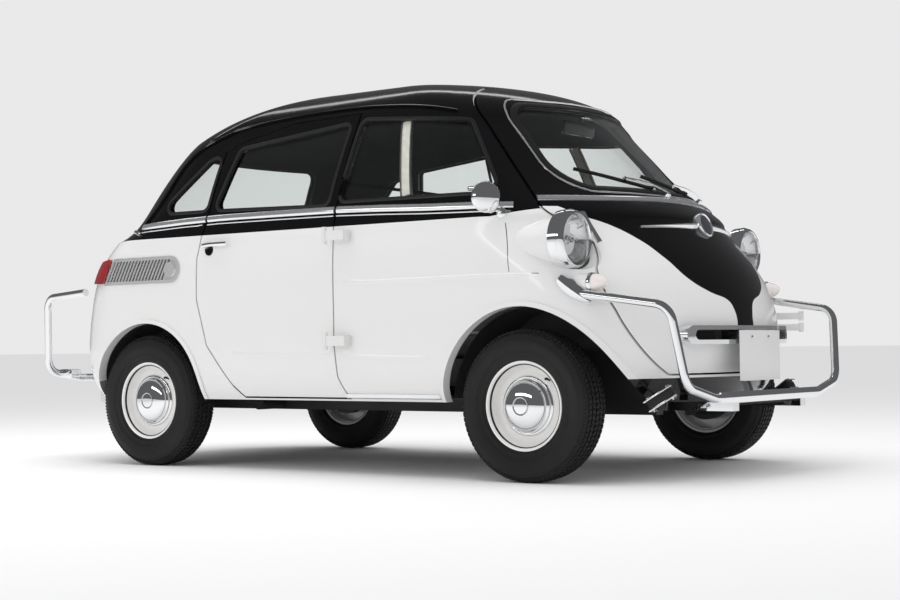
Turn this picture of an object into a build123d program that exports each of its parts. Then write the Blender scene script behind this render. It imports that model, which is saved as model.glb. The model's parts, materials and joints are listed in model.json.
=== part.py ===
from build123d import *
from math import asin, cos, hypot, sin, sqrt
import os

# Bubble car with a front door, one side door and a rear engine lid.
# Frame: +X forward, +Y to the car's left, +Z up, ground at z = 0.
# The origin is on the ground below the middle of the overall length. Millimetres.

os.makedirs("parts", exist_ok=True)

# ---- driving dimensions --------------------------------------------------
length = 2900
wheelbase = 1700
front_overhang = 537
track_front = 1220
track_rear = 1160
skin = 30                    # whole thickness of a body wall or door
panel_gap = 6                # all round each door and lid

front_axle_x = length / 2 - front_overhang
rear_axle_x = front_axle_x - wheelbase

# wheels: 10 inch steel discs with high section tyres
tyre_radius = 242
tyre_width = 132
rim_radius = 127
flange_radius = 143
rim_width = 92
hub_hole_radius = 22
axle_radius = 16
axle_gap = 0.5
cap_radius = 80
cap_front_depth = 42
cap_rear_depth = 32
cap_rim = 8
hub_z = tyre_radius

# steering
kingpin_inset = 105          # from the wheel's middle plane to the kingpin axis
kingpin_radius = 14
kingpin_length = 150

# body sections: height, nose x, tail x, half width, nose, tail, front and rear corner radii
side_radius = 23000
side_bulge_x = 510
belt_z = 842                 # where the lower body meets the roof
belt_row = (belt_z, 1187, -1160, 680, 830, 1500, 285, 285)
lower_rows = [
    (250, 1290, -1250, 655, 1080, 1500, 280, 260),
    (340, 1345, -1300, 688, 1080, 1600, 285, 265),
    (480, 1361, -1312, 692, 1080, 1600, 285, 265),
    (620, 1332, -1290, 692, 1030, 1600, 290, 270),
    (740, 1265, -1250, 688, 860, 1500, 290, 270),
    belt_row,
]
roof_row = (1209, 832, -815, 548, 640, 1100, 250, 260)
wall_rows = [
    belt_row,
    (900, 1130, -1060, 662, 830, 1450, 282, 290),
    (960, 1050, -1015, 645, 830, 1350, 280, 288),
    (1030, 980, -970, 622, 780, 1280, 275, 285),
    (1120, 905, -905, 588, 700, 1180, 265, 275),
    roof_row,
]
crown_rows = [
    roof_row,
    (1290, 715, -620, 492, 570, 1000, 225, 235),
    (1338, 560, -440, 405, 480, 850, 180, 190),
    (1375, 180, -60, 120, 200, 300, 70, 70),
]
floor_z = 262
floor_plate = 8

# front door seam, seen from the side: x, z from the roof down
door_seam = [(528, 1420), (530, 1325), (625, 1215), (800, 1017), (938, 871), (1086, 755), (1196, 540), (1276, 338)]
door_half = 575              # the door's zone is this wide each side of the middle
door_bottom_z = 338

# side door outline on the right: x, z clockwise from the front lower corner
side_door_outline = [
    (190, 262), (156, 330), (143, 450), (142, 900), (160, 1243), (-150, 1234), (-395, 1180),
    (-452, 1150), (-472, 900), (-511, 763), (-512, 610), (-464, 447), (-342, 303), (-296, 262),
]

# windows, seen from the side: x, z
front_pane = [(149, 932), (805, 925), (612, 1188), (179, 1222)]
rear_pane = [(-448, 936), (104, 922), (134, 1214), (-384, 1160)]
quarter_pane = [(-738, 938), (-486, 936), (-466, 1146), (-530, 1126)]
pane_corner = 28
glass_thickness = 5
glass_depth = 12             # glass lies this far inside the skin
windscreen_low = (430, 955)  # half width, height
windscreen_high = (372, 1240)
windscreen_corner = 75
rear_window_low = (430, 958)
rear_window_high = (350, 1170)

# arches
front_arch_radius = 308
rear_arch_radius = 282
arch_z = 248
wheelhouse_front_y = 385
wheelhouse_rear_y = 440
wheelhouse_wall = 4

arch_lip_width = 16
arch_lip_rise = 6

# lamps
headlamp_x = 1043
headlamp_y = 605
headlamp_z = 762
headlamp_radius = 93
indicator_x = 1170           # tip of the bullet
indicator_y = 612
indicator_z = 626
indicator_radius = 26
tail_lamp_rise = 12
tail_lamp_outline = [(-1014, 684), (-975, 778), (-1128, 768), (-1150, 690)]

# louvred grille over each side of the engine bay: x, z of its outline
grille_low_z = 684
grille_high_z = 772
grille_round_x = -649        # middle of the round front end
grille_rear_low_x = -1006
louvre_lean = 45             # each louvre leans forward by this over the grille's height
louvre_pitch = 17.5
louvre_width = 8
louvre_count = 17
grille_rim = 6
grille_rise = 4
grille_disc_radius = 27

# bumper bar and plate carrier on the front door
bar_half = 365
bar_z = 460
bar_height = 60
bar_depth = 36
bar_slot = (75, 330, 16)     # inner end, outer end, half height
carrier_size = (3, 236, 165)
carrier_x = 1404
carrier_top_z = 475
carrier_hole_radius = 3.5
carrier_hole_spacing = 120
carrier_hole_z = 452

# hinge axes: barrels stand off the skin on leaves
hinge_radius = 9
side_hinge = (138, -704)
side_hinge_heights = (455, 812)
front_hinge = (1275, 620)
front_hinge_heights = (487, 528)
lid_hinge_x = -1160
lid_hinge_z = 858
lid_hinge_y = 200

# mirrors
mirror_base = (833, 655, 852)
mirror_head = (838, 745, 900)
mirror_radius = 50

# bumpers
tube_radius = 14
bumper_bend = 62
bumper_iron_width = 40
bumper_iron_height = 28
front_bumper_x = length / 2 - tube_radius
rear_bumper_x = -front_bumper_x

# floor and frame
floor_front_x = 1170
floor_rear_x = -560
floor_half = 618
rail_y = 250                 # middle of each frame rail
rail_width = 44
rail_height = 60
rail_top = floor_z
rail_rear_x = -1190
engine_size = (300, 520, 250)
engine_x = -1000
engine_z = 300
arm_radius = 18

# engine lid: half width, height of its lower and upper edge
lid_low = (330, 470)
lid_high = (330, 832)
lid_corner = 60

# bulkhead between cabin and engine, with the parcel shelf above the engine
bulkhead_x = -600
shelf_z = 760
shelf_rear_x = -1090
sheet = 6

# dashboard, seen from the side: x, z
dash_outline = [(1180, 905), (1010, 905), (972, 862), (985, 800), (1180, 790)]
dash_half = 330


# ---- helpers -------------------------------------------------------------
def meeting(c1, r1, c2, r2, side):
    """Point at r1 from c1 and r2 from c2."""
    dx, dy = c2[0] - c1[0], c2[1] - c1[1]
    d = hypot(dx, dy)
    a = (r1 * r1 - r2 * r2 + d * d) / (2 * d)
    h = side * sqrt(r1 * r1 - a * a)
    return (c1[0] + (a * dx - h * dy) / d, c1[1] + (a * dy + h * dx) / d)


def on_circle(centre, radius, point):
    """Point of the circle in the direction of the given point."""
    d = hypot(point[0] - centre[0], point[1] - centre[1])
    return tuple(c + (p - c) * radius / d for c, p in zip(centre, point))


def arc_middle(centre, a, b):
    """Middle of the arc from a to b about centre."""
    return on_circle(centre, hypot(a[0] - centre[0], a[1] - centre[1]), ((a[0] + b[0]) / 2, (a[1] + b[1]) / 2))


def right(point):
    """The same point on the car's right side."""
    return (point[0], -point[1])


def plan_section(row, inset):
    """Closed plan of the body at one height: nose arc, corner arcs, sides and tail arc."""
    z, nose, tail, half, nose_r, tail_r, front_r, rear_r = row
    nose_c = (nose - nose_r, 0)
    tail_c = (tail + tail_r, 0)
    side_c = (side_bulge_x, half - side_radius)
    front_c = max(meeting(nose_c, nose_r - front_r, side_c, side_radius - front_r, s) for s in (-1, 1))
    rear_c = min(meeting(tail_c, tail_r - rear_r, side_c, side_radius - rear_r, s) for s in (-1, 1))
    a = on_circle(nose_c, nose_r - inset, front_c)
    b = on_circle(side_c, side_radius - inset, front_c)
    c = on_circle(side_c, side_radius - inset, rear_c)
    d = on_circle(tail_c, tail_r - inset, rear_c)
    front_mid = arc_middle(front_c, a, b)
    rear_mid = arc_middle(rear_c, c, d)
    with BuildSketch(Plane.XY.offset(z)) as plan:
        with BuildLine():
            ThreePointArc(right(a), (nose - inset, 0), a)
            ThreePointArc(a, front_mid, b)
            Line(b, c)
            ThreePointArc(c, rear_mid, d)
            ThreePointArc(d, (tail + inset, 0), right(d))
            ThreePointArc(right(d), right(rear_mid), right(c))
            Line(right(c), right(b))
            ThreePointArc(right(b), right(front_mid), right(a))
        make_face()
    return plan.sketch


def hull(rows, inset):
    """Solid inside the body's skin, moved in by inset; its crown comes down as far."""
    crown = crown_rows[-1][0]
    shoulder = wall_rows[-2][0]
    with BuildPart() as solid:
        for row in rows:
            drop = inset * max(0, row[0] - shoulder) / (crown - shoulder)
            add(plan_section((row[0] - drop,) + row[1:], inset))
        loft()
    return solid.part


def upper_hull(inset):
    """The hull above the belt: the walls and the roof's crown."""
    walls = hull(wall_rows, inset)
    crown = hull(crown_rows, inset)
    with BuildPart() as solid:
        add(walls)
        add(crown)
    return solid.part


def side_prism(points, y0, y1, corner=0, grow=0):
    """Solid with the given x, z outline between two values of y."""
    with BuildPart() as prism:
        with BuildSketch(Plane.XZ.offset(-y1)) as outline:
            with BuildLine():
                Polyline(*points, close=True)
            make_face()
            if corner:
                fillet(outline.vertices(), corner)
            if grow:
                offset(amount=grow, kind=Kind.INTERSECTION)
        extrude(amount=y1 - y0)
    return prism.part


def end_prism(low, high, x0, x1, corner):
    """Solid with a rounded four-sided y, z outline between two values of x."""
    (low_half, low_z), (high_half, high_z) = low, high
    with BuildPart() as prism:
        with BuildSketch(Plane.YZ.offset(x0)) as outline:
            with BuildLine():
                Polyline((-low_half, low_z), (low_half, low_z), (high_half, high_z), (-high_half, high_z), close=True)
            make_face()
            fillet(outline.vertices(), corner)
        extrude(amount=x1 - x0)
    return prism.part


def save(part, name):
    """Label a finished piece and write it."""
    part.label = name
    export_step(part, f"parts/{name}.step")


def tube(points, radius, bend):
    """Round bar along straight runs joined by bends."""
    with BuildPart() as bar:
        with BuildLine() as path:
            FilletPolyline(*points, radius=bend)
        with BuildSketch(Plane(origin=path.line @ 0, z_dir=path.line % 0)):
            Circle(radius)
        sweep(path=path.line)
    return bar.part


# ---- body blanks ---------------------------------------------------------
outer_low = hull(lower_rows, 0)
inner_low = hull(lower_rows, skin)
outer_top = upper_hull(0)
inner_top = upper_hull(skin)
glass_outer = upper_hull(glass_depth)
glass_inner = upper_hull(glass_depth + glass_thickness)

with BuildPart() as outer:
    add(outer_low)
    add(outer_top)

with BuildPart() as inner:
    add(inner_low)
    add(inner_top)

far = 900
door_zone_points = door_seam + [(1600, door_bottom_z), (1600, 1420)]
door_zone = side_prism(door_zone_points, -door_half, door_half)
door_gap = side_prism(door_zone_points, -door_half - panel_gap, door_half + panel_gap, grow=panel_gap)
side_zone = side_prism(side_door_outline, -far, -380)
side_gap = side_prism(side_door_outline, -far, -380, grow=panel_gap)
lid_zone = end_prism(lid_low, lid_high, -1500, -950, lid_corner)
lid_gap = end_prism((lid_low[0] + panel_gap, lid_low[1] - panel_gap),
                    (lid_high[0] + panel_gap, lid_high[1] + panel_gap), -1500, -950, lid_corner)
windscreen_hole = end_prism(windscreen_low, windscreen_high, 600, 1300, windscreen_corner)
rear_hole = end_prism(rear_window_low, rear_window_high, -1300, -500, windscreen_corner)
right_holes = [side_prism(pane, -far, -400, corner=pane_corner) for pane in (front_pane, rear_pane, quarter_pane)]
left_holes = [side_prism(pane, 400, far, corner=pane_corner) for pane in (front_pane, rear_pane, quarter_pane)]

lip_hull = hull(lower_rows, -arch_lip_rise)
lip_bars = []
for x, radius in ((front_axle_x, front_arch_radius), (rear_axle_x, rear_arch_radius)):
    with BuildPart() as lip_bar:
        with Locations(Location((x, 0, arch_z), (90, 0, 0))):
            Cylinder(radius + arch_lip_width, 4 * far)
    lip_bars.append(lip_bar.part)
with BuildPart() as arch_lips:
    add(lip_bars)
    add(lip_hull, mode=Mode.INTERSECT)
    add(inner_low, mode=Mode.SUBTRACT)
arch_lips = arch_lips.part


def grille_prism(side, grow):
    """Solid with the grille's outline, leaning at the rear and round at the front."""
    half = (grille_high_z - grille_low_z) / 2
    mid_z = grille_low_z + half
    rear_high_x = grille_rear_low_x + louvre_lean
    with BuildPart() as prism:
        with BuildSketch(Plane.XZ.offset(-side * 400)) as outline:
            with BuildLine():
                Line((grille_rear_low_x, grille_low_z), (grille_round_x, grille_low_z))
                ThreePointArc((grille_round_x, grille_low_z), (grille_round_x + half, mid_z),
                              (grille_round_x, grille_high_z))
                Line((grille_round_x, grille_high_z), (rear_high_x, grille_high_z))
                Line((rear_high_x, grille_high_z), (grille_rear_low_x, grille_low_z))
            make_face()
            if grow:
                offset(amount=grow, kind=Kind.INTERSECTION)
        extrude(amount=-side * 500)
    return prism.part


# ---- body ----------------------------------------------------------------
with BuildPart() as body_shell:
    add(outer_low)
    add(inner_low, mode=Mode.SUBTRACT)
    # headlamp pods grow out of the fenders, behind the door's seam
    for side in (-1, 1):
        with BuildSketch(Plane(origin=(headlamp_x, side * headlamp_y, headlamp_z), z_dir=(-1, 0, 0))):
            Circle(headlamp_radius - 6)
        with BuildSketch(Plane(origin=(headlamp_x - 300, side * (headlamp_y - 10), headlamp_z - 30), z_dir=(-1, 0, 0))):
            Circle(headlamp_radius - 45)
        loft()
        with BuildSketch(Plane(origin=(headlamp_x, side * headlamp_y, headlamp_z), z_dir=(1, 0, 0))):
            Circle(headlamp_radius + 2)
        extrude(amount=120, mode=Mode.SUBTRACT)
    add(arch_lips)
    add(door_gap, mode=Mode.SUBTRACT)
    add(side_gap, mode=Mode.SUBTRACT)
    add(lid_gap, mode=Mode.SUBTRACT)
    for side in (-1, 1):
        add(grille_prism(side, 0), mode=Mode.SUBTRACT)
    for x, radius, wall_y in ((front_axle_x, front_arch_radius, wheelhouse_front_y),
                              (rear_axle_x, rear_arch_radius, wheelhouse_rear_y)):
        for side in (-1, 1):
            with Locations(Location((x, side * (wall_y + far) / 2, arch_z), (90, 0, 0))):
                Cylinder(radius, far - wall_y, mode=Mode.SUBTRACT)
save(body_shell.part, "body_shell")

with BuildPart() as roof_shell:
    add(outer_top)
    add(inner_top, mode=Mode.SUBTRACT)
    add(door_gap, mode=Mode.SUBTRACT)
    add(side_gap, mode=Mode.SUBTRACT)
    add(rear_hole, mode=Mode.SUBTRACT)
    for hole in left_holes + right_holes:
        add(hole, mode=Mode.SUBTRACT)
save(roof_shell.part, "roof_shell")

with BuildPart() as front_door:
    add(door_zone)
    add(outer.part, mode=Mode.INTERSECT)
    add(inner.part, mode=Mode.SUBTRACT)
    add(windscreen_hole, mode=Mode.SUBTRACT)
    # the edge curves round the headlamps
    for side in (-1, 1):
        with Locations(Location((headlamp_x, side * headlamp_y, headlamp_z), (0, 90, 0))):
            Cylinder(headlamp_radius + panel_gap, 200, mode=Mode.SUBTRACT)
save(front_door.part, "front_door")

with BuildPart() as side_door:
    add(side_zone)
    add(outer.part, mode=Mode.INTERSECT)
    add(inner.part, mode=Mode.SUBTRACT)
    add(right_holes[1], mode=Mode.SUBTRACT)
save(side_door.part, "side_door")

with BuildPart() as engine_lid:
    add(lid_zone)
    add(outer_low, mode=Mode.INTERSECT)
    add(inner_low, mode=Mode.SUBTRACT)
save(engine_lid.part, "engine_lid")


# ---- louvred side grilles --------------------------------------------------
rim_hull = hull(lower_rows, -grille_rise)
grille_back = hull(lower_rows, 18)
louvre_face = hull(lower_rows, 1)
louvre_back = hull(lower_rows, 14)
grille_pieces = []
for side in (-1, 1):
    with BuildPart() as rim_flange:
        add(grille_prism(side, grille_rim))
        add(rim_hull, mode=Mode.INTERSECT)
        add(outer_low, mode=Mode.SUBTRACT)
    with BuildPart() as rim_sleeve:
        add(grille_prism(side, 0))
        add(outer_low, mode=Mode.INTERSECT)
        add(grille_back, mode=Mode.SUBTRACT)
    with BuildPart() as louvres:
        with BuildSketch(Plane.XZ.offset(-side * 400)):
            for number in range(louvre_count):
                x = grille_rear_low_x + 12 + number * louvre_pitch
                with BuildLine():
                    Polyline((x, grille_low_z), (x + louvre_width, grille_low_z),
                             (x + louvre_width + louvre_lean, grille_high_z), (x + louvre_lean, grille_high_z),
                             close=True)
                make_face()
        extrude(amount=-side * 500)
        add(louvre_face, mode=Mode.INTERSECT)
        add(louvre_back, mode=Mode.SUBTRACT)
    disc_x = grille_round_x - 6
    disc_z = (grille_low_z + grille_high_z) / 2
    last_x = grille_rear_low_x + 12 + louvre_count * louvre_pitch
    with BuildPart() as front_plate:
        add(side_prism([(last_x, grille_low_z), (last_x + louvre_lean, grille_high_z),
                        (grille_round_x + 60, grille_high_z), (grille_round_x + 60, grille_low_z)],
                       *sorted((side * 400, side * far))))
        add(grille_prism(side, 0), mode=Mode.INTERSECT)
        add(louvre_face, mode=Mode.INTERSECT)
        add(louvre_back, mode=Mode.SUBTRACT)
    with BuildPart() as disc:
        with Locations(Location((disc_x, side * far / 2, disc_z), (90, 0, 0))):
            Cylinder(grille_disc_radius, far)
        add(rim_hull, mode=Mode.INTERSECT)
        add(louvre_back, mode=Mode.SUBTRACT)
    with BuildPart() as grille:
        add(rim_flange.part)
        add(rim_sleeve.part)
        add(grille_prism(side, -grille_rim), mode=Mode.SUBTRACT)
        add(louvres.part)
        add(front_plate.part)
        add(disc.part)
    grille_pieces.append(grille.part)
with BuildPart() as side_grilles:
    add(grille_pieces)
save(side_grilles.part, "side_grilles")

# ---- lamps and trim that follow the skin -------------------------------------
lamp_hull = hull(lower_rows, -tail_lamp_rise)
lenses = []
for side in (-1, 1):
    with BuildPart() as lens:
        add(side_prism(tail_lamp_outline, *sorted((side * 330, side * far)), corner=10))
        add(lamp_hull, mode=Mode.INTERSECT)
        add(outer_low, mode=Mode.SUBTRACT)
        add(grille_prism(side, grille_rim + 1), mode=Mode.SUBTRACT)
    lenses.append(lens.part)
with BuildPart() as tail_lamps:
    add(lenses)
save(tail_lamps.part, "tail_lamps")

bar_hull = hull(lower_rows, -bar_depth)
with BuildPart() as front_bar:
    with BuildSketch(Plane.YZ.offset(900)):
        with Locations((0, bar_z)):
            SlotOverall(2 * bar_half, bar_height)
        for side in (-1, 1):
            with Locations((side * (bar_slot[0] + bar_slot[1]) / 2, bar_z)):
                SlotOverall(bar_slot[1] - bar_slot[0], 2 * bar_slot[2], mode=Mode.SUBTRACT)
    extrude(amount=700)
    add(bar_hull, mode=Mode.INTERSECT)
    add(outer_low, mode=Mode.SUBTRACT)
    # a foot behind the carrier joins it to the bar
    with Locations((carrier_x, 0, bar_z)):
        Box(40, 120, 40, align=(Align.MAX, Align.CENTER, Align.CENTER))
    with Locations((carrier_x, 0, carrier_top_z)):
        Box(*carrier_size, align=(Align.MIN, Align.CENTER, Align.MAX))
    for side in (-1, 1):
        with Locations(Location((carrier_x, side * carrier_hole_spacing / 2, carrier_hole_z), (0, 90, 0))):
            Cylinder(carrier_hole_radius, 20, mode=Mode.SUBTRACT)
save(front_bar.part, "front_bar")

with BuildPart() as indicators:
    for side in (-1, 1):
        with BuildSketch(Plane(origin=(indicator_x, side * indicator_y, indicator_z), z_dir=(-1, 0, 0))):
            Circle(indicator_radius * 0.45)
        with BuildSketch(Plane(origin=(indicator_x - 26, side * indicator_y, indicator_z), z_dir=(-1, 0, 0))):
            Circle(indicator_radius * 0.9)
        with BuildSketch(Plane(origin=(indicator_x - 55, side * indicator_y, indicator_z), z_dir=(-1, 0, 0))):
            Circle(indicator_radius)
        loft()
        with BuildSketch(Plane(origin=(indicator_x - 55, side * indicator_y, indicator_z), z_dir=(-1, 0, 0))):
            Circle(indicator_radius)
        extrude(amount=50)
    add(outer_low, mode=Mode.SUBTRACT)
save(indicators.part, "indicators")

mirror_arms = []
for side in (-1, 1):
    base = (mirror_base[0], side * (mirror_base[1] - 30), mirror_base[2])
    head = (mirror_head[0], side * mirror_head[1], mirror_head[2])
    with BuildPart() as arm:
        with BuildSketch(Plane(origin=base, z_dir=Vector(*head) - Vector(*base))):
            Circle(6)
        extrude(amount=(Vector(*head) - Vector(*base)).length - 20)
    mirror_arms.append(arm.part)
with BuildPart() as mirrors:
    add(mirror_arms)
    for side in (-1, 1):
        with Locations((mirror_base[0], side * (mirror_base[1] + 12), mirror_base[2])):
            Box(46, 40, 26)
    add(outer.part, mode=Mode.SUBTRACT)
    for side in (-1, 1):
        with BuildSketch(Plane(origin=(mirror_head[0] - 8, side * mirror_head[1], mirror_head[2]), z_dir=(1, 0, 0))):
            Circle(mirror_radius)
        extrude(amount=10)
        with BuildSketch(Plane(origin=(mirror_head[0] + 2, side * mirror_head[1], mirror_head[2]), z_dir=(1, 0, 0))):
            Circle(mirror_radius)
        extrude(amount=22, taper=48)
save(mirrors.part, "mirrors")

# ---- hinges on the body ------------------------------------------------------
with BuildPart() as hinges:
    hinge_x, hinge_y = side_hinge
    for z in side_hinge_heights:
        with Locations((hinge_x, hinge_y, z)):
            Cylinder(hinge_radius, 60)
        with Locations((hinge_x, hinge_y, z)):
            Box(85, 8, 34, align=(Align.MIN, Align.CENTER, Align.CENTER))
        with Locations((hinge_x + 85, hinge_y - 4, z)):
            Box(25, 60, 34, align=(Align.MAX, Align.MIN, Align.CENTER))
    hinge_x, hinge_y = front_hinge
    for z in front_hinge_heights:
        with Locations((hinge_x, hinge_y, z)):
            Cylinder(hinge_radius, 34)
        with Locations((hinge_x, hinge_y, z)):
            Box(230, 10, 24, align=(Align.MAX, Align.CENTER, Align.CENTER))
    for side in (-1, 1):
        with Locations(Location((lid_hinge_x, side * lid_hinge_y, lid_hinge_z), (90, 0, 0))):
            Cylinder(hinge_radius, 60)
        with Locations((lid_hinge_x, side * lid_hinge_y, lid_hinge_z)):
            Box(70, 40, 8, align=(Align.MIN, Align.CENTER, Align.CENTER))
    add(outer.part, mode=Mode.SUBTRACT)
save(hinges.part, "hinges")

# ---- bulkhead, parcel shelf and dashboard ------------------------------------
with BuildPart() as bulkhead:
    with Locations((bulkhead_x, 0, floor_z + floor_plate)):
        Box(sheet, 2 * far, shelf_z - floor_z - floor_plate, align=(Align.MIN, Align.CENTER, Align.MIN))
    with Locations((bulkhead_x + sheet, 0, shelf_z)):
        Box(bulkhead_x + sheet - shelf_rear_x, 2 * far, sheet, align=(Align.MAX, Align.CENTER, Align.MAX))
    add(inner_low, mode=Mode.INTERSECT)
    for side in (-1, 1):
        with Locations(Location((rear_axle_x, side * (wheelhouse_rear_y + far) / 2, arch_z), (90, 0, 0))):
            Cylinder(rear_arch_radius + wheelhouse_wall, far - wheelhouse_rear_y, mode=Mode.SUBTRACT)
save(bulkhead.part, "bulkhead")

with BuildPart() as dashboard:
    add(side_prism(dash_outline, -dash_half, dash_half, corner=8))
    add(inner.part, mode=Mode.INTERSECT)
save(dashboard.part, "dashboard")

# ---- glass: panes of one thin shell inside the skin ------------------------
def pane(hole):
    """Glass that fills one window."""
    with BuildPart() as glass:
        add(hole)
        add(glass_outer, mode=Mode.INTERSECT)
        add(glass_inner, mode=Mode.SUBTRACT)
    return glass.part


save(pane(windscreen_hole), "windscreen")
save(pane(rear_hole), "rear_glass")
save(pane(right_holes[1]), "side_door_glass")

fixed_panes = [pane(hole) for hole in left_holes + [right_holes[0], right_holes[2]]]
with BuildPart() as fixed_side_glass:
    add(fixed_panes)
save(fixed_side_glass.part, "fixed_side_glass")

# ---- floor, frame and wheelhouses ------------------------------------------
door_sweep_depth = skin + 45    # the side door's front edge swings in this far
sweep_core = hull(lower_rows, door_sweep_depth)
with BuildPart() as door_sweep:
    add(side_gap)
    add(sweep_core, mode=Mode.SUBTRACT)

with BuildPart() as floor_pan:
    front_half = wheelhouse_front_y - 8
    with Locations(((floor_front_x + floor_rear_x) / 2, 0, floor_z)):
        Box(floor_front_x - floor_rear_x, 2 * front_half, floor_plate, align=(Align.CENTER, Align.CENTER, Align.MIN))
    wide_front = front_axle_x - front_arch_radius - 20
    wide_rear = rear_axle_x + rear_arch_radius + 20
    with Locations(((wide_front + wide_rear) / 2, 0, floor_z)):
        Box(wide_front - wide_rear, 2 * floor_half, floor_plate, align=(Align.CENTER, Align.CENTER, Align.MIN))
    add(inner_low, mode=Mode.INTERSECT)
    add(door_sweep.part, mode=Mode.SUBTRACT)
save(floor_pan.part, "floor_pan")

with BuildPart() as chassis_frame:
    for side in (-1, 1):
        with Locations(((floor_front_x + rail_rear_x) / 2, side * rail_y, rail_top)):
            Box(floor_front_x - rail_rear_x, rail_width, rail_height, align=(Align.CENTER, Align.CENTER, Align.MAX))
    for x in (floor_front_x - rail_width / 2, 480, 0, -470, rail_rear_x + rail_width / 2):
        with Locations((x, 0, rail_top)):
            Box(rail_width, 2 * rail_y, rail_height - 12, align=(Align.CENTER, Align.CENTER, Align.MAX))
    # pads that carry the engine
    for x in (engine_x - 100, engine_x + 100):
        for side in (-1, 1):
            with Locations((x, side * rail_y, rail_top)):
                Box(rail_width, rail_width, engine_z - rail_top, align=(Align.CENTER, Align.CENTER, Align.MIN))
save(chassis_frame.part, "chassis_frame")

with BuildPart() as wheelhouses:
    for x, radius, wall_y in ((front_axle_x, front_arch_radius, wheelhouse_front_y),
                              (rear_axle_x, rear_arch_radius, wheelhouse_rear_y)):
        for side in (-1, 1):
            with Locations(Location((x, side * (wall_y + 600) / 2, arch_z), (90, 0, 0))):
                Cylinder(radius + wheelhouse_wall, 600 - wall_y)
    add(inner_low, mode=Mode.INTERSECT)
    for x, radius, wall_y in ((front_axle_x, front_arch_radius, wheelhouse_front_y),
                              (rear_axle_x, rear_arch_radius, wheelhouse_rear_y)):
        for side in (-1, 1):
            with Locations(Location((x, side * (wall_y + wheelhouse_wall + 300), arch_z), (90, 0, 0))):
                Cylinder(radius, 600, mode=Mode.SUBTRACT)
    Box(2 * length, 4 * far, 2 * floor_z, mode=Mode.SUBTRACT)
    add(door_gap, mode=Mode.SUBTRACT)
save(wheelhouses.part, "wheelhouses")

# ---- wheels ----------------------------------------------------------------
disc_y = 22                  # disc face, outward from the wheel's middle plane
cap_seat = disc_y + 8        # top of the disc's raised ring


def place_wheel(part, corner):
    """Stand a wheel piece, turned about Z, on its axle with +Z out of the car."""
    place, x, side, half_track, depth = corner
    return part.moved(Location((x, side * half_track, hub_z), (-90 * side, 0, 0)))


with BuildPart() as tyre:
    half = tyre_width / 2
    with BuildSketch(Plane.XZ):
        with BuildLine():
            Polyline((rim_radius + 3.5, -36), (flange_radius + 1, -47.5), (flange_radius + 3, -56),
                     (flange_radius + 47, -half), (tyre_radius - 8, -half + 18), (tyre_radius, -half + 36),
                     (tyre_radius, half - 36), (tyre_radius - 8, half - 18), (flange_radius + 47, half),
                     (flange_radius + 3, 56), (flange_radius + 1, 47.5), (rim_radius + 3.5, 36), close=True)
        make_face()
        with Locations((rim_radius + 62, 0)):
            RectangleRounded(80, 2 * half - 36, 24, mode=Mode.SUBTRACT)
    revolve(axis=Axis.Z)

with BuildPart() as rim:
    half = rim_width / 2
    with BuildSketch(Plane.XZ):
        with BuildLine():
            Polyline((rim_radius - 1, -half + 3), (flange_radius, -half - 6), (flange_radius, -half - 3),
                     (rim_radius + 2.5, -half + 6), (rim_radius + 2.5, half - 6), (flange_radius, half + 3),
                     (flange_radius, half + 6), (rim_radius - 1, half - 3), close=True)
        make_face()
        with BuildLine():
            Polyline((hub_hole_radius, disc_y - 12), (rim_radius, disc_y - 12), (rim_radius, disc_y - 6),
                     (cap_radius + 18, disc_y), (cap_radius + 4, cap_seat), (hub_hole_radius, cap_seat), close=True)
        make_face()
    revolve(axis=Axis.Z)


def hub_cap(depth):
    """Domed cap on the disc's raised ring; the dome's centre is on the axle."""
    rise = depth - cap_rim
    dome_radius = (cap_radius ** 2 + rise ** 2) / (2 * rise)
    half_turn = asin(cap_radius / dome_radius) / 2
    dome_mid = (dome_radius * sin(half_turn), cap_seat + depth - dome_radius * (1 - cos(half_turn)))
    with BuildPart() as cap:
        with BuildSketch(Plane.XZ):
            with BuildLine():
                Line((0, cap_seat), (cap_radius, cap_seat))
                Line((cap_radius, cap_seat), (cap_radius, cap_seat + cap_rim))
                ThreePointArc((cap_radius, cap_seat + cap_rim), dome_mid, (0, cap_seat + depth))
                Line((0, cap_seat + depth), (0, cap_seat))
            make_face()
        revolve(axis=Axis.Z)
    return cap.part


corners = [
    ("front_left", front_axle_x, 1, track_front / 2, cap_front_depth),
    ("front_right", front_axle_x, -1, track_front / 2, cap_front_depth),
    ("rear_left", rear_axle_x, 1, track_rear / 2, cap_rear_depth),
    ("rear_right", rear_axle_x, -1, track_rear / 2, cap_rear_depth),
]
for corner in corners:
    save(place_wheel(tyre.part, corner), f"tyre_{corner[0]}")
    save(place_wheel(rim.part, corner), f"rim_{corner[0]}")
    save(place_wheel(hub_cap(corner[4]), corner), f"hub_cap_{corner[0]}")


# ---- steering knuckles and suspension ----------------------------------------
kingpin_y = track_front / 2 - kingpin_inset
drum_radius = 92
drum_width = 40
drum_back = 55               # from the wheel's middle plane in to the drum's back


def across(x, z, side, y0, y1, radius):
    """Round bar across the car from |y| = y0 to y1 on one side."""
    with BuildPart() as bar:
        with BuildSketch(Plane.XZ.offset(-side * y0)):
            with Locations((x, z)):
                Circle(radius)
        extrude(amount=-side * (y1 - y0))
    return bar.part


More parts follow.
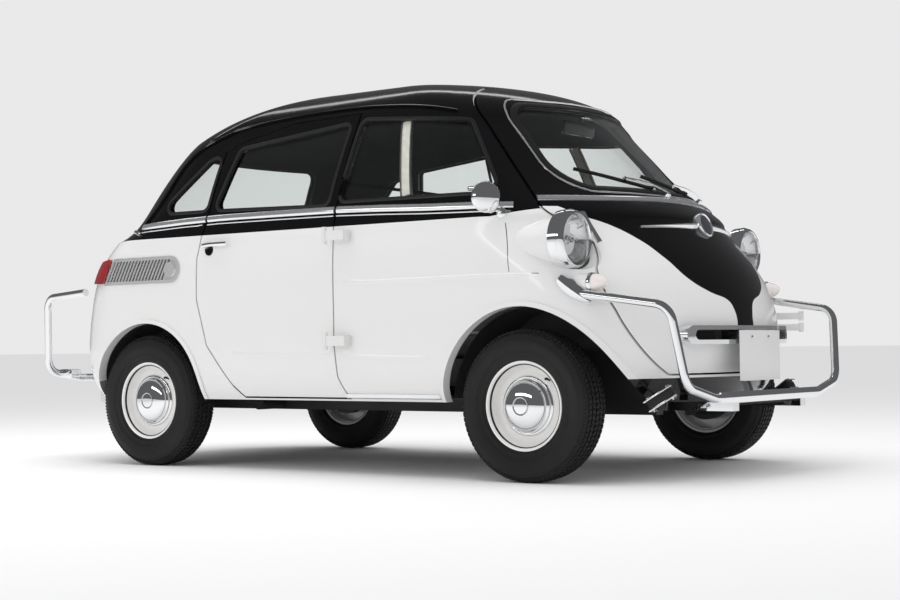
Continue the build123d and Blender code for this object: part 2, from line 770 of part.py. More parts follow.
for name, side in (("knuckle_left", 1), ("knuckle_right", -1)):
    half_track = track_front / 2
    stub = across(front_axle_x, hub_z, side, kingpin_y, half_track + disc_y + 4, axle_radius)
    drum = across(front_axle_x, hub_z, side, half_track - drum_back, half_track - drum_back + drum_width, drum_radius)
    with BuildPart() as knuckle:
        add(stub)
        add(drum)
        with Locations((front_axle_x, side * kingpin_y, hub_z)):
            Cylinder(kingpin_radius + 10, kingpin_length - 60)
            Cylinder(kingpin_radius, kingpin_length)
        with Locations((front_axle_x - 70, side * kingpin_y, hub_z - 30)):
            Box(120, 20, 14)
    save(knuckle.part, name)

arm_z = hub_z - 14
fork_z = kingpin_length / 2 - 12
arm_pivot_front = front_axle_x - 330
front_arms = []
for side in (-1, 1):
    inside_y = side * 330
    front_arms.append(across(arm_pivot_front, arm_z, side, rail_y + rail_width / 2, 370, 24))
    front_arms.append(tube([(arm_pivot_front, inside_y, arm_z), (front_axle_x - 120, inside_y, arm_z),
                            (front_axle_x, side * (kingpin_y - 45), arm_z)], arm_radius, 40))
with BuildPart() as front_suspension:
    for side in (-1, 1):
        with Locations((front_axle_x, side * (kingpin_y - 45), hub_z)):
            Box(40, 30, kingpin_length - 6)
        for end in (-1, 1):
            with Locations((front_axle_x, side * (kingpin_y - 20), hub_z + end * fork_z)):
                Box(44, 84, 18)
            with Locations((front_axle_x, side * kingpin_y, hub_z + end * fork_z)):
                Cylinder(kingpin_radius + axle_gap, 30, mode=Mode.SUBTRACT)
    add(front_arms)
save(front_suspension.part, "front_suspension")

arm_pivot_rear = rear_axle_x + 340
rear_arms = []
for side in (-1, 1):
    drum_y = track_rear / 2 - drum_back
    rear_arms.append(across(arm_pivot_rear, arm_z, side, rail_y + rail_width / 2, 400, 24))
    rear_arms.append(across(rear_axle_x, hub_z, side, rail_y + rail_width / 2 + 2, drum_y, arm_radius))
    rear_arms.append(across(rear_axle_x, hub_z, side, drum_y, drum_y + drum_width, drum_radius))
    rear_arms.append(across(rear_axle_x, hub_z, side, drum_y, track_rear / 2 + disc_y + 4, axle_radius))
with BuildPart() as rear_suspension:
    for side in (-1, 1):
        with Locations(((arm_pivot_rear + rear_axle_x) / 2, side * 380, arm_z)):
            Box(arm_pivot_rear - rear_axle_x + 20, 30, 34)
    add(rear_arms)
save(rear_suspension.part, "rear_suspension")

# ---- engine and silencer -----------------------------------------------------
with BuildPart() as engine_block:
    with Locations((engine_x, 0, engine_z)):
        Box(*engine_size, align=(Align.CENTER, Align.CENTER, Align.MIN))
save(engine_block.part, "engine_block")

silencer_x = -1095
silencer_z = 236
silencer_radius = 44
with BuildPart() as silencer:
    with Locations(Location((silencer_x, 0, silencer_z), (90, 0, 0))):
        Cylinder(silencer_radius, 400)
    with Locations((rail_rear_x + rail_width, 0, silencer_z)):
        Box(30, 60, 20, align=(Align.MIN, Align.CENTER, Align.CENTER))
save(silencer.part, "silencer")

# ---- seats -------------------------------------------------------------------
with BuildPart() as front_seat:
    with Locations((340, 0, 300)):
        Box(450, 1080, 200, align=(Align.CENTER, Align.CENTER, Align.MIN))
    with Locations((65, 0, 300)):
        Box(100, 1080, 570, align=(Align.CENTER, Align.CENTER, Align.MIN))
save(front_seat.part, "front_seat")

with BuildPart() as rear_seat:
    with Locations((-310, 0, 300)):
        Box(330, 1080, 180, align=(Align.CENTER, Align.CENTER, Align.MIN))
    with Locations((-530, 0, 300)):
        Box(110, 850, 560, align=(Align.CENTER, Align.CENTER, Align.MIN))
save(rear_seat.part, "rear_seat")

# ---- lamps -------------------------------------------------------------------
ring_depth = 18
with BuildPart() as headlamps:
    for side in (-1, 1):
        with BuildSketch(Plane(origin=(headlamp_x, side * headlamp_y, headlamp_z), z_dir=(1, 0, 0))):
            Circle(headlamp_radius)
        extrude(amount=ring_depth, taper=12)
save(headlamps.part, "headlamps")

with BuildPart() as headlamp_glass:
    for side in (-1, 1):
        with BuildSketch(Plane(origin=(headlamp_x + ring_depth, side * headlamp_y, headlamp_z), z_dir=(1, 0, 0))):
            Circle(headlamp_radius - 10)
        extrude(amount=16, taper=45)
save(headlamp_glass.part, "headlamp_glass")

# ---- bumpers -----------------------------------------------------------------
loop_y = 600
bumper_ends = []
for x, rail_x, z in ((front_bumper_x, floor_front_x, 262), (rear_bumper_x, rail_rear_x, 322)):
    for side in (-1, 1):
        with BuildPart() as iron:
            with Locations(((x + rail_x) / 2, side * rail_y, rail_top - rail_height / 2)):
                Box(abs(x - rail_x), bumper_iron_width, bumper_iron_height)
            with Locations((x, side * rail_y, rail_top - rail_height / 2 - bumper_iron_height / 2)):
                Box(16, bumper_iron_width, z - rail_top + rail_height / 2 + bumper_iron_height / 2,
                    align=(Align.CENTER, Align.CENTER, Align.MIN))
        bumper_ends.append(iron.part)

front_right_loop = [(1100, -loop_y - 40, 592), (front_bumper_x - 32, -loop_y - 4, 548),
                    (front_bumper_x - 4, -loop_y + 45, 300), (front_bumper_x, -380, 262)]
front_left_loop = [(x, -y, z) for x, y, z in reversed(front_right_loop)]
front_tube = tube(front_right_loop + front_left_loop, tube_radius, bumper_bend)
with BuildPart() as front_bumper:
    add(front_tube)
    add(bumper_ends[:2])
    add(outer_low, mode=Mode.SUBTRACT)
save(front_bumper.part, "front_bumper")

rear_right_loop = [(-1120, -loop_y - 40, 655), (rear_bumper_x + 36, -loop_y + 12, 640),
                   (rear_bumper_x + 4, -loop_y + 45, 350), (rear_bumper_x, -380, 322)]
rear_left_loop = [(x, -y, z) for x, y, z in reversed(rear_right_loop)]
rear_tube = tube(rear_right_loop + rear_left_loop, tube_radius, bumper_bend)
with BuildPart() as rear_bumper:
    add(rear_tube)
    add(bumper_ends[2:])
    add(outer_low, mode=Mode.SUBTRACT)
save(rear_bumper.part, "rear_bumper")

# ---- steering wheel and column ------------------------------------------------
column_foot = (1130, 270, 470)
column_top = (760, 270, 770)
column_run = Vector(*column_top) - Vector(*column_foot)
column_axis = Axis(column_top, column_run)
wheel_plane = Plane(origin=column_top, z_dir=column_run)
strut_z = 620
with BuildPart() as column_strut:
    with Locations(Location((column_foot[0] - 185, column_foot[1], strut_z), (0, 90, 0))):
        Cylinder(10, 500, align=(Align.CENTER, Align.CENTER, Align.MIN))
    add(inner_low, mode=Mode.INTERSECT)
column_strut = column_strut.part
with BuildPart() as steering_column:
    with BuildSketch(Plane(origin=column_foot, z_dir=column_run)):
        Circle(22)
    extrude(amount=column_run.length - 32)
    add(column_strut)
save(steering_column.part, "steering_column")

with BuildPart() as steering_wheel:
    with BuildSketch(Plane(origin=column_top, x_dir=wheel_plane.x_dir, z_dir=wheel_plane.y_dir)):
        with Locations((190, 0)):
            Circle(11)
    revolve(axis=column_axis)
    with BuildSketch(wheel_plane.offset(-28)):
        Circle(30)
    extrude(amount=38)
    for turn in (90, 210, 330):
        spoke_dir = wheel_plane.x_dir.rotate(Axis((0, 0, 0), column_run), turn)
        with BuildSketch(Plane(origin=Vector(*column_top) + spoke_dir * 20, z_dir=spoke_dir)):
            Circle(6)
        extrude(amount=168)
save(steering_wheel.part, "steering_wheel")
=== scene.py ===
import json
import math

import bmesh
import bpy
from mathutils import Matrix, Vector
from mathutils.bvhtree import BVHTree

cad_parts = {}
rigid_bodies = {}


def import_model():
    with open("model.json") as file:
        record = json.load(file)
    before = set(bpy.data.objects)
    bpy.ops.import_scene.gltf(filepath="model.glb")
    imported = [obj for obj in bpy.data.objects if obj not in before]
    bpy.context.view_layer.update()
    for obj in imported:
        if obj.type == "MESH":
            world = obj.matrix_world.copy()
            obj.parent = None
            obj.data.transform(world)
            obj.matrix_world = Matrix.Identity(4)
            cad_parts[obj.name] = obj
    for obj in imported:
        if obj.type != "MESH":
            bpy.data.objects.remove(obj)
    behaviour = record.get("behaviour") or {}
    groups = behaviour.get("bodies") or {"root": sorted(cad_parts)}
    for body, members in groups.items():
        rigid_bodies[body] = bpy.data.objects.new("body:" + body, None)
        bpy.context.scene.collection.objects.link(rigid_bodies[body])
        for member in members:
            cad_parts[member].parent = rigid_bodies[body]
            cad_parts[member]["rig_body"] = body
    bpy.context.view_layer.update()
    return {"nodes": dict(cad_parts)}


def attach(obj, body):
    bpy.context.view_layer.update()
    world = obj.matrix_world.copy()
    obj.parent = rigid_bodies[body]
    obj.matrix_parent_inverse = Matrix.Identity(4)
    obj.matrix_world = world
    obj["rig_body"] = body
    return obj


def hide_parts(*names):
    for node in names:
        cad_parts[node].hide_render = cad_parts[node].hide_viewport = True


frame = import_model()
nodes = frame["nodes"]
scene = bpy.context.scene
collection = scene.collection

X, Y, Z = Vector((1, 0, 0)), Vector((0, 1, 0)), Vector((0, 0, 1))
SIDES = ((-1, "right"), (1, "left"))


def mm(*rows):
    """Rows of millimetres as metres; every other number is in metres."""
    return [tuple(value / 1000 for value in row) for row in rows]


# ---- places that several pieces share ----
BELT_Z = 0.842
NOSE_X = 0.86
FRONT_AXLE_X, REAR_AXLE_X, AXLE_Z = 0.913, -0.787, 0.242
FRONT_WHEEL_Y, REAR_WHEEL_Y = 0.61, 0.58
HEADLAMP = (1.043, 0.605, 0.762)
INDICATOR = (1.196, 0.612, 0.624)
MIRROR = (0.838, 0.745, 0.9)
MIRROR_BASE = (0.833, 0.856)
PANES = {
    "front_pane": mm((149, 932), (805, 925), (612, 1188), (179, 1222)),
    "door_pane": mm((-448, 936), (104, 922), (134, 1214), (-384, 1160)),
    "quarter_pane": mm((-738, 938), (-486, 936), (-466, 1146), (-530, 1126)),
}
WINDSCREEN = mm((-430, 955), (430, 955), (372, 1240), (-372, 1240))
REAR_WINDOW = mm((-430, 958), (430, 958), (350, 1170), (-350, 1170))


# ---- finishes ----
def finish(name, colour, rough=0.3, metal=0.0, **sockets):
    """A plain finish; sockets are further values of the shader."""
    made = bpy.data.materials.new(name)
    made.use_nodes = True
    shader = made.node_tree.nodes["Principled BSDF"]
    shader.inputs["Base Color"].default_value = (*colour, 1)
    shader.inputs["Roughness"].default_value = rough
    shader.inputs["Metallic"].default_value = metal
    for socket, value in sockets.items():
        shader.inputs[socket.replace("_", " ")].default_value = value
    return made


def wire(made, kind, values=None, **links):
    """A shader node with its values set and its inputs linked from other sockets."""
    node = made.node_tree.nodes.new(kind)
    for socket, value in (values or {}).items():
        node.inputs[socket].default_value = value
    for socket, source in links.items():
        made.node_tree.links.new(source, node.inputs[socket])
    return node


def math_node(made, operation, *terms):
    """Output of a math node on numbers or sockets."""
    node = made.node_tree.nodes.new("ShaderNodeMath")
    node.operation = operation
    for number, term in enumerate(terms):
        if isinstance(term, (int, float)):
            node.inputs[number].default_value = term
        else:
            made.node_tree.links.new(term, node.inputs[number])
    return node.outputs[0]


def mix_colours(tree, share, first, second):
    """Socket of a colour between two colours; the first may also be a socket."""
    mix = tree.nodes.new("ShaderNodeMix")
    mix.data_type = "RGBA"
    tree.links.new(share, mix.inputs[0])
    if isinstance(first, tuple):
        mix.inputs[6].default_value = first
    else:
        tree.links.new(first, mix.inputs[6])
    mix.inputs[7].default_value = second
    return mix.outputs[2]


def object_coordinates(made):
    return made.node_tree.nodes.new("ShaderNodeTexCoord").outputs["Object"]


def grain(made, scale, depth):
    """Fine unevenness on a finish."""
    values = {"Scale": scale, "Detail": 3.0}
    noise = wire(made, "ShaderNodeTexNoise", values, Vector=object_coordinates(made))
    bump = wire(made, "ShaderNodeBump", {"Distance": depth, "Strength": 1.0}, Height=noise.outputs[0])
    shader = made.node_tree.nodes["Principled BSDF"]
    made.node_tree.links.new(bump.outputs[0], shader.inputs["Normal"])
    return made


def smudge(made, low, high):
    """Roughness that wanders a little between two values."""
    noise = wire(made, "ShaderNodeTexNoise", {"Scale": 3.0, "Detail": 4.0}, Vector=object_coordinates(made))
    span = {"From Min": 0.3, "From Max": 0.7, "To Min": low, "To Max": high}
    spread = wire(made, "ShaderNodeMapRange", span, Value=noise.outputs[0])
    shader = made.node_tree.nodes["Principled BSDF"]
    made.node_tree.links.new(spread.outputs[0], shader.inputs["Roughness"])
    return made


GLASS_INDEX = 1.45


def window_finish(name, tint):
    """Thin clear glass that lets light and shadow rays through."""
    made = bpy.data.materials.new(name)
    made.use_nodes = True
    tree = made.node_tree
    tree.nodes.remove(tree.nodes["Principled BSDF"])
    clear = wire(made, "ShaderNodeBsdfTransparent", {"Color": (*tint, 1)})
    gloss = wire(made, "ShaderNodeBsdfGlossy", {"Roughness": 0.0, "Color": (1, 1, 1, 1)})
    facing = tree.nodes.new("ShaderNodeNewGeometry")
    span = {"To Min": GLASS_INDEX, "To Max": 1 / GLASS_INDEX}
    index = wire(made, "ShaderNodeMapRange", span, Value=facing.outputs["Backfacing"])
    rim = wire(made, "ShaderNodeFresnel", IOR=index.outputs[0])
    shade = tree.nodes.new("ShaderNodeLightPath")
    seen = math_node(made, "SUBTRACT", 1.0, shade.outputs["Is Shadow Ray"])
    share = math_node(made, "MULTIPLY", rim.outputs[0], seen)
    mix = tree.nodes.new("ShaderNodeMixShader")
    tree.links.new(share, mix.inputs[0])
    tree.links.new(clear.outputs[0], mix.inputs[1])
    tree.links.new(gloss.outputs[0], mix.inputs[2])
    tree.links.new(mix.outputs[0], tree.nodes["Material Output"].inputs["Surface"])
    return made


# The black on the nose: (height, half its width), between the front bar and the windscreen.
NOSE_EDGE = mm((475, 60), (540, 66), (573, 94), (598, 180), (636, 257), (707, 313), (766, 355),
               (815, 417), (853, 503), (880, 540), (897, 600))
NOSE_BLACK_Z, SKIRT_Z, SKIRT_X = 0.455, 0.324, 1.0
DOOR_HALF, DOOR_STEP = 0.578, 0.008


def two_tone_finish(name, white, black):
    """White below the belt, black above it and down the nose."""
    made = finish(name, white, rough=0.14, Coat_Weight=0.2, Coat_Roughness=0.03, Specular_IOR_Level=0.26)
    tree = made.node_tree

    def calc(operation, *terms):
        return math_node(made, operation, *terms)

    x, y, z = wire(made, "ShaderNodeSeparateXYZ", Vector=object_coordinates(made)).outputs
    span = {"From Min": 0.8, "From Max": 0.93, "To Min": BELT_Z + 0.003, "To Max": 0.868}
    rise = wire(made, "ShaderNodeMapRange", span, Value=x)
    aside, ahead = calc("ABSOLUTE", y), calc("GREATER_THAN", x, NOSE_X)
    on_door = calc("MULTIPLY", calc("LESS_THAN", aside, DOOR_HALF), ahead)
    edge = calc("ADD", rise.outputs[0], calc("MULTIPLY", on_door, DOOR_STEP))
    above = calc("GREATER_THAN", z, edge)
    low, high = NOSE_EDGE[0][0], NOSE_EDGE[-1][0]
    along = wire(made, "ShaderNodeMapRange", {"From Min": low, "From Max": high}, Value=z)
    curve = wire(made, "ShaderNodeFloatCurve", Value=along.outputs[0])
    points = curve.mapping.curves[0].points
    for point, (height, half) in zip((points[0], points[-1]), (NOSE_EDGE[0], NOSE_EDGE[-1])):
        point.location = ((height - low) / (high - low), half)
    for height, half in NOSE_EDGE[1:-1]:
        points.new((height - low) / (high - low), half)
    curve.mapping.update()
    within = calc("LESS_THAN", aside, curve.outputs[0])
    over_bar = calc("GREATER_THAN", z, NOSE_BLACK_Z)
    nose = calc("MULTIPLY", calc("MULTIPLY", within, ahead), over_bar)
    skirt = calc("MULTIPLY", calc("LESS_THAN", z, SKIRT_Z), calc("GREATER_THAN", x, SKIRT_X))
    dark = calc("MAXIMUM", calc("MAXIMUM", above, nose), skirt)
    colour = mix_colours(tree, dark, (*white, 1), (*black, 1))
    tree.links.new(colour, tree.nodes["Principled BSDF"].inputs["Base Color"])
    return made


WHITE, BLACK = (0.8, 0.8, 0.79), (0.0035, 0.0035, 0.004)
body_paint = two_tone_finish("body_paint", WHITE, BLACK)
white_paint = finish("white_paint", WHITE, rough=0.16, Coat_Weight=0.5, Coat_Roughness=0.03)
black_paint = finish("black_paint", BLACK, rough=0.12, Coat_Weight=0.2, Coat_Roughness=0.02,
                     Specular_IOR_Level=0.26)
chassis_black = smudge(finish("chassis_black", (0.018, 0.018, 0.018)), 0.4, 0.65)
chrome = finish("chrome", (0.86, 0.87, 0.88), rough=0.035, metal=1.0)
bright_trim = finish("bright_trim", (0.86, 0.87, 0.88), rough=0.07, metal=0.85)
grille_metal = finish("grille_metal", (0.78, 0.78, 0.78), rough=0.25, metal=0.6)
brushed_chrome = finish("dull_chrome", (0.62, 0.63, 0.64), rough=0.22, metal=1.0)
rubber = grain(smudge(finish("rubber", (0.012, 0.012, 0.012)), 0.45, 0.65), 180, 0.0004)
tyre_rubber = grain(smudge(finish("tyre_rubber", (0.009, 0.009, 0.009)), 0.6, 0.85), 90, 0.0006)
rim_paint = finish("rim_paint", (0.86, 0.85, 0.83), rough=0.22, Coat_Weight=0.4)
cast_metal = grain(smudge(finish("cast_metal", (0.33, 0.33, 0.33), metal=0.7), 0.35, 0.6), 60, 0.001)
head_lining = grain(finish("head_lining", (0.035, 0.035, 0.037), rough=0.9), 400, 0.0005)
trim_vinyl = grain(finish("trim_vinyl", (0.24, 0.235, 0.225), rough=0.55), 500, 0.0004)
seat_cloth = grain(finish("seat_cloth", (0.3, 0.285, 0.265), rough=0.85), 900, 0.0006)
piping = finish("seat_piping", (0.62, 0.6, 0.56), rough=0.5)
dash_paint = finish("dash_paint", (0.74, 0.73, 0.7), rough=0.25, Coat_Weight=0.5)
wheel_plastic = finish("wheel_plastic", (0.66, 0.64, 0.57), rough=0.3, Coat_Weight=0.3)
mat_rubber = grain(finish("mat_rubber", (0.03, 0.03, 0.03), rough=0.8), 120, 0.001)
window_glass = window_finish("window_glass", (0.97, 0.985, 0.98))
lamp_glass = window_finish("lamp_glass", (0.97, 0.97, 0.97))
mirror_face = finish("mirror_face", (0.9, 0.9, 0.9), rough=0.0, metal=1.0)
reflector = finish("reflector", (0.85, 0.86, 0.88), rough=0.12, metal=1.0)
red_lens = finish("red_lens", (0.35, 0.004, 0.006), rough=0.12, Coat_Weight=1.0)
amber_core = finish("amber_core", (0.8, 0.22, 0.08), rough=0.3)
clear_lens = finish("clear_lens", (0.9, 0.84, 0.82), rough=0.12, Coat_Weight=1.0)
bare_disc = finish("bare_disc", (0.1, 0.11, 0.13), rough=0.15, metal=0.6, Coat_Weight=1.0)
plate_paint = finish("plate_paint", (0.74, 0.74, 0.74), rough=0.35)
# Near black for the wing seam, a dark joint, and for the painted shade behind the side grilles.
seam_and_shade_dark = finish("seam_and_shade_dark", (0.02, 0.02, 0.02), rough=0.8)


# ---- shapes ----
class Shape:
    """Points and faces that grow into one piece. What adds to a shape also gives it back."""

    def __init__(self):
        self.points = []
        self.faces = []

    def add(self, points, faces):
        start = len(self.points)
        self.points.extend(Vector(p) for p in points)
        self.faces.extend([start + i for i in face] for face in faces)
        return self

    def piece(self, name, material, body="body", slot="chrome_trim", sharp=38):
        mesh = bpy.data.meshes.new(name)
        mesh.from_pydata([tuple(p) for p in self.points], [], self.faces)
        mesh.update()
        mesh.materials.append(material)
        edit = bmesh.new()
        edit.from_mesh(mesh)
        bmesh.ops.recalc_face_normals(edit, faces=edit.faces)
        edit.to_mesh(mesh)
        edit.free()
        mesh.shade_smooth()
        mesh.set_sharp_from_angle(angle=math.radians(sharp))
        made = bpy.data.objects.new(name, mesh)
        collection.objects.link(made)
        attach(made, body)
        return made


def smooth_path(points, step=0.02):
    """Points of a smooth line through the given ones, about a step apart."""
    points = [Vector(p) for p in points]
    found = []
    for i in range(len(points) - 1):
        a, b, c, d = (points[min(max(i + k, 0), len(points) - 1)] for k in (-1, 0, 1, 2))
        pieces = max(1, round((c - b).length / step))
        for k in range(pieces):
            t = k / pieces
            found.append(0.5 * (2 * b + (c - a) * t + (2 * a - 5 * b + 4 * c - d) * t ** 2
                                + (3 * b - 3 * c + d - a) * t ** 3))
    return found + [points[-1]]


def straight_path(points, step=0.02):
    """Points along straight runs, about a step apart."""
    points = [Vector(p) for p in points]
    found = []
    for a, b in zip(points, points[1:]):
        pieces = max(1, round((b - a).length / step))
        found += [a.lerp(b, k / pieces) for k in range(pieces)]
    return found + [points[-1]]


def outline(points, corner, grow, step=0.02, bends=8):
    """Closed line round a four-sided shape with round corners, moved out by grow."""
    points = [Vector((*p, 0)) for p in points]
    turn = 1 if sum(a.cross(b).z for a, b in zip(points, points[1:] + points[:1])) > 0 else -1
    corners = []
    for last, here, onward in zip(points[-1:] + points, points, points[1:] + points[:1]):
        into, out = (here - last).normalized(), (onward - here).normalized()
        away = (into - out).normalized()
        if turn * into.cross(out).z < 0:
            away = -away
        corners.append(here + away * grow / math.cos(into.angle(out) / 2))
    arcs = []
    for last, here, onward in zip(corners[-1:] + corners, corners, corners[1:] + corners[:1]):
        into, out = (last - here).normalized(), (onward - here).normalized()
        half = into.angle(out) / 2
        reach = (corner + grow) / math.tan(half)
        centre = here + (into + out).normalized() * (corner + grow) / math.sin(half)
        start, end = here + into * reach - centre, here + out * reach - centre
        bend = start.to_2d().angle_signed(end.to_2d())
        arcs.append([centre + Matrix.Rotation(-bend * k / bends, 3, "Z") @ start for k in range(bends + 1)])
    found = []
    for arc, onward in zip(arcs, arcs[1:] + arcs[:1]):
        run = onward[0] - arc[-1]
        pieces = max(1, round(run.length / step))
        found += arc + [arc[-1] + run * k / pieces for k in range(1, pieces)]
    return [(p.x, p.y) for p in found]


def sweep(shape, path, ups, section, closed=False, scales=None):
    """Carries a closed section (sideways, up) along a path."""
    count, ring = len(path), len(section)
    points = []
    for i, here in enumerate(path):
        if closed:
            along = path[(i + 1) % count] - path[i - 1]
        else:
            along = path[min(i + 1, count - 1)] - path[max(i - 1, 0)]
        along = along.normalized()
        up = (ups[i] - along * ups[i].dot(along)).normalized()
        side = along.cross(up)
        scale = scales[i] if scales else (1, 1)
        points += [here + side * s * scale[0] + up * u * scale[1] for s, u in section]
    faces = []
    for i in range(count if closed else count - 1):
        a, b = i * ring, ((i + 1) % count) * ring
        faces += [(a + k, a + (k + 1) % ring, b + (k + 1) % ring, b + k) for k in range(ring)]
    if not closed:
        faces += [list(range(ring)), [(count - 1) * ring + k for k in reversed(range(ring))]]
    return shape.add(points, faces)


def tube(shape, path, radius, sides=12):
    """Round bar along a path."""
    path = [Vector(p) for p in path]
    along = (path[1] - path[0]).normalized()
    up = along.orthogonal().normalized()
    ups = []
    for i in range(len(path)):
        along = (path[min(i + 1, len(path) - 1)] - path[max(i - 1, 0)]).normalized()
        up = (up - along * up.dot(along)).normalized()
        ups.append(up)
    turns = [2 * math.pi * k / sides for k in range(sides)]
    return sweep(shape, path, ups, [(radius * math.cos(a), radius * math.sin(a)) for a in turns])


def lathe(shape, origin, axis, profile, sides=48):
    """Turned shape: profile is (distance along the axis, radius)."""
    origin, axis = Vector(origin), Vector(axis).normalized()
    side = axis.orthogonal().normalized()
    other = axis.cross(side)
    points, rows, faces = [], [], []
    for along, radius in profile:
        row = [len(points)] if radius < 1e-6 else list(range(len(points), len(points) + sides))
        for k in range(len(row)):
            turn = 2 * math.pi * k / sides
            points.append(origin + axis * along + (side * math.cos(turn) + other * math.sin(turn)) * radius)
        rows.append(row)
    for a, b in zip(rows, rows[1:]):
        for k in range(sides):
            corner = [a[k % len(a)], a[(k + 1) % len(a)], b[(k + 1) % len(b)], b[k % len(b)]]
            kept = list(dict.fromkeys(corner))
            if len(kept) > 2:
                faces.append(kept)
    for row in (rows[0], rows[-1]):
        if len(row) > 1 and profile[0] != profile[-1]:
            faces.append(row)
    return shape.add(points, faces)


def block(shape, centre, size, turn=None, round_by=0.0):
    """Box about a centre; turn is a 3x3 matrix, round_by bevels its edges."""
    edit = bmesh.new()
    bmesh.ops.create_cube(edit, size=1)
    for vert in edit.verts:
        vert.co = Vector(c * s for c, s in zip(vert.co, size))
    if round_by:
        bmesh.ops.bevel(edit, geom=list(edit.edges), offset=round_by, segments=2, profile=0.6,
                        affect="EDGES")
    turn = turn or Matrix.Identity(3)
    edit.verts.index_update()
    points = [Vector(centre) + turn @ vert.co for vert in edit.verts]
    faces = [[vert.index for vert in face.verts] for face in edit.faces]
    edit.free()
    return shape.add(points, faces)


# ---- the skin as a surface to lay trim on ----
def surface(*names):
    points, faces = [], []
    for name in names:
        mesh = nodes[name].data
        start = len(points)
        points += [vert.co.copy() for vert in mesh.vertices]
        faces += [[start + i for i in face.vertices] for face in mesh.polygons]
    return BVHTree.FromPolygons(points, faces)


SHELLS = ("body_shell", "roof_shell", "front_door", "side_door", "engine_lid")
FAR = 2  # where the rays that find the skin start
skin = surface(*SHELLS)
skin_and_glass = surface(*SHELLS, "windscreen", "fixed_side_glass", "rear_glass", "side_door_glass")


def lay(tree, starts, direction, closed=False):
    """Where rays from the starts meet a surface, with evened-out normals."""
    places, normals = [], []
    for start in starts:
        hit, normal = tree.ray_cast(Vector(start), direction)[:2]
        if hit is None:
            hit, normal = tree.find_nearest(Vector(start))[:2]
        if normal.dot(direction) > 0:
            normal = -normal
        places.append(hit)
        normals.append(normal)
    count = len(places)
    evened = []
    for i in range(count):
        near = [(i + k) % count if closed else min(max(i + k, 0), count - 1) for k in (-2, -1, 0, 1, 2)]
        evened.append(sum((normals[k] for k in near), Vector()).normalized())
    return places, evened


def on_side(side, points, tree=skin, closed=False):
    """Lays (x, z) points on the right or the left side."""
    return lay(tree, [(x, side * FAR, z) for x, z in points], Y * -side, closed)


def on_front(points, tree=skin, closed=False):
    """Lays (y, z) points on the front."""
    return lay(tree, [(FAR, y, z) for y, z in points], -X, closed)


def on_back(points, closed=False):
    """Lays (y, z) points on the back."""
    return lay(skin, [(-FAR, y, z) for y, z in points], X, closed)


def raised(path, height):
    """The places of a laid path, moved off the surface."""
    return [place + normal * height for place, normal in zip(*path)]


def shares(path):
    """How far along each point of a path is, from 0 to 1."""
    return [k / (len(path) - 1) for k in range(len(path))]


def boss(shape, place, normal, profile, sides=24, sink=0.004):
    """Turned foot standing on the skin."""
    return lathe(shape, place - normal * sink, normal, profile, sides)


BEAD = mm((-3.5, 2), (3.5, 2), (3, 4.5), (1.2, 5.6), (-1.2, 5.6), (-3, 4.5))


def window_trim(name, seal_path, body, half=0.0065, bead_path=None):
    """Rubber seal round a window, and a bright bead round the seal where the window has one."""
    low, high = 0.0008, 0.0026
    seal = [(-half, -0.01), (half, -0.01), (half, low), (half - 0.003, high), (0.003 - half, high),
            (-half, low)]
    sweep(Shape(), *seal_path, seal, closed=True).piece(name + "_seal", rubber, body, "black_paint")
    if bead_path:
        sweep(Shape(), *bead_path, BEAD, closed=True).piece(name + "_bead", bright_trim, body)


# ---- shells: the same faces, joined up so that light runs over them ----
INWARD = -0.35  # a face that looks this much towards the middle belongs to the lining


def lining_for(name, inner, outer):
    """Joined and smoothed copy of a shell whose inward faces have their own finish."""
    source = nodes[name]
    mesh = source.data.copy()
    mesh.name = name + "_skin"
    mesh.materials.clear()
    mesh.materials.append(outer)
    mesh.materials.append(inner)
    edit = bmesh.new()
    edit.from_mesh(mesh)
    bmesh.ops.remove_doubles(edit, verts=edit.verts, dist=0.00002)
    edit.normal_update()
    for face in edit.faces:
        middle = face.calc_center_median()
        axis_point = Vector((min(max(middle.x, -0.7), 0.7), 0, 0.66))
        outward = (middle - axis_point).normalized()
        face.material_index = 1 if face.normal.dot(outward) < INWARD else 0
        face.smooth = True
    edit.to_mesh(mesh)
    edit.free()
    if mesh.attributes.get("custom_normal"):
        mesh.attributes.remove(mesh.attributes["custom_normal"])
    mesh.set_sharp_from_angle(angle=math.radians(28))
    made = bpy.data.objects.new(name + "_skin", mesh)
    collection.objects.link(made)
    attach(made, source["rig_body"])
    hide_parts(name)


lining_for("body_shell", trim_vinyl, body_paint)
lining_for("roof_shell", head_lining, body_paint)
lining_for("front_door", trim_vinyl, body_paint)
lining_for("side_door", trim_vinyl, body_paint)
lining_for("engine_lid", chassis_black, white_paint)

FINISHES = (
    (window_glass, "fixed_side_glass rear_glass windscreen side_door_glass"),
    (chassis_black, "floor_pan chassis_frame wheelhouses front_suspension rear_suspension silencer"),
    (chassis_black, "knuckle_left knuckle_right"), (lamp_glass, "headlamp_glass"),
    (chrome, "front_bumper rear_bumper mirrors headlamps hub_cap"),
    (bright_trim, "front_bar"), (grille_metal, "side_grilles"), (red_lens, "tail_lamps"),
    (cast_metal, "engine_block"), (trim_vinyl, "bulkhead"), (dash_paint, "dashboard steering_column"),
    (wheel_plastic, "steering_wheel"), (seat_cloth, "front_seat rear_seat"), (tyre_rubber, "tyre"),
    (rim_paint, "rim"))
NODE_FINISH = {node: made for made, names in FINISHES for node in names.split()}
for name, node in nodes.items():
    for end in ("_front_left", "_front_right", "_rear_left", "_rear_right"):
        name = name.removesuffix(end)
    node.data.materials.clear()
    node.data.materials.append(NODE_FINISH.get(name, white_paint))

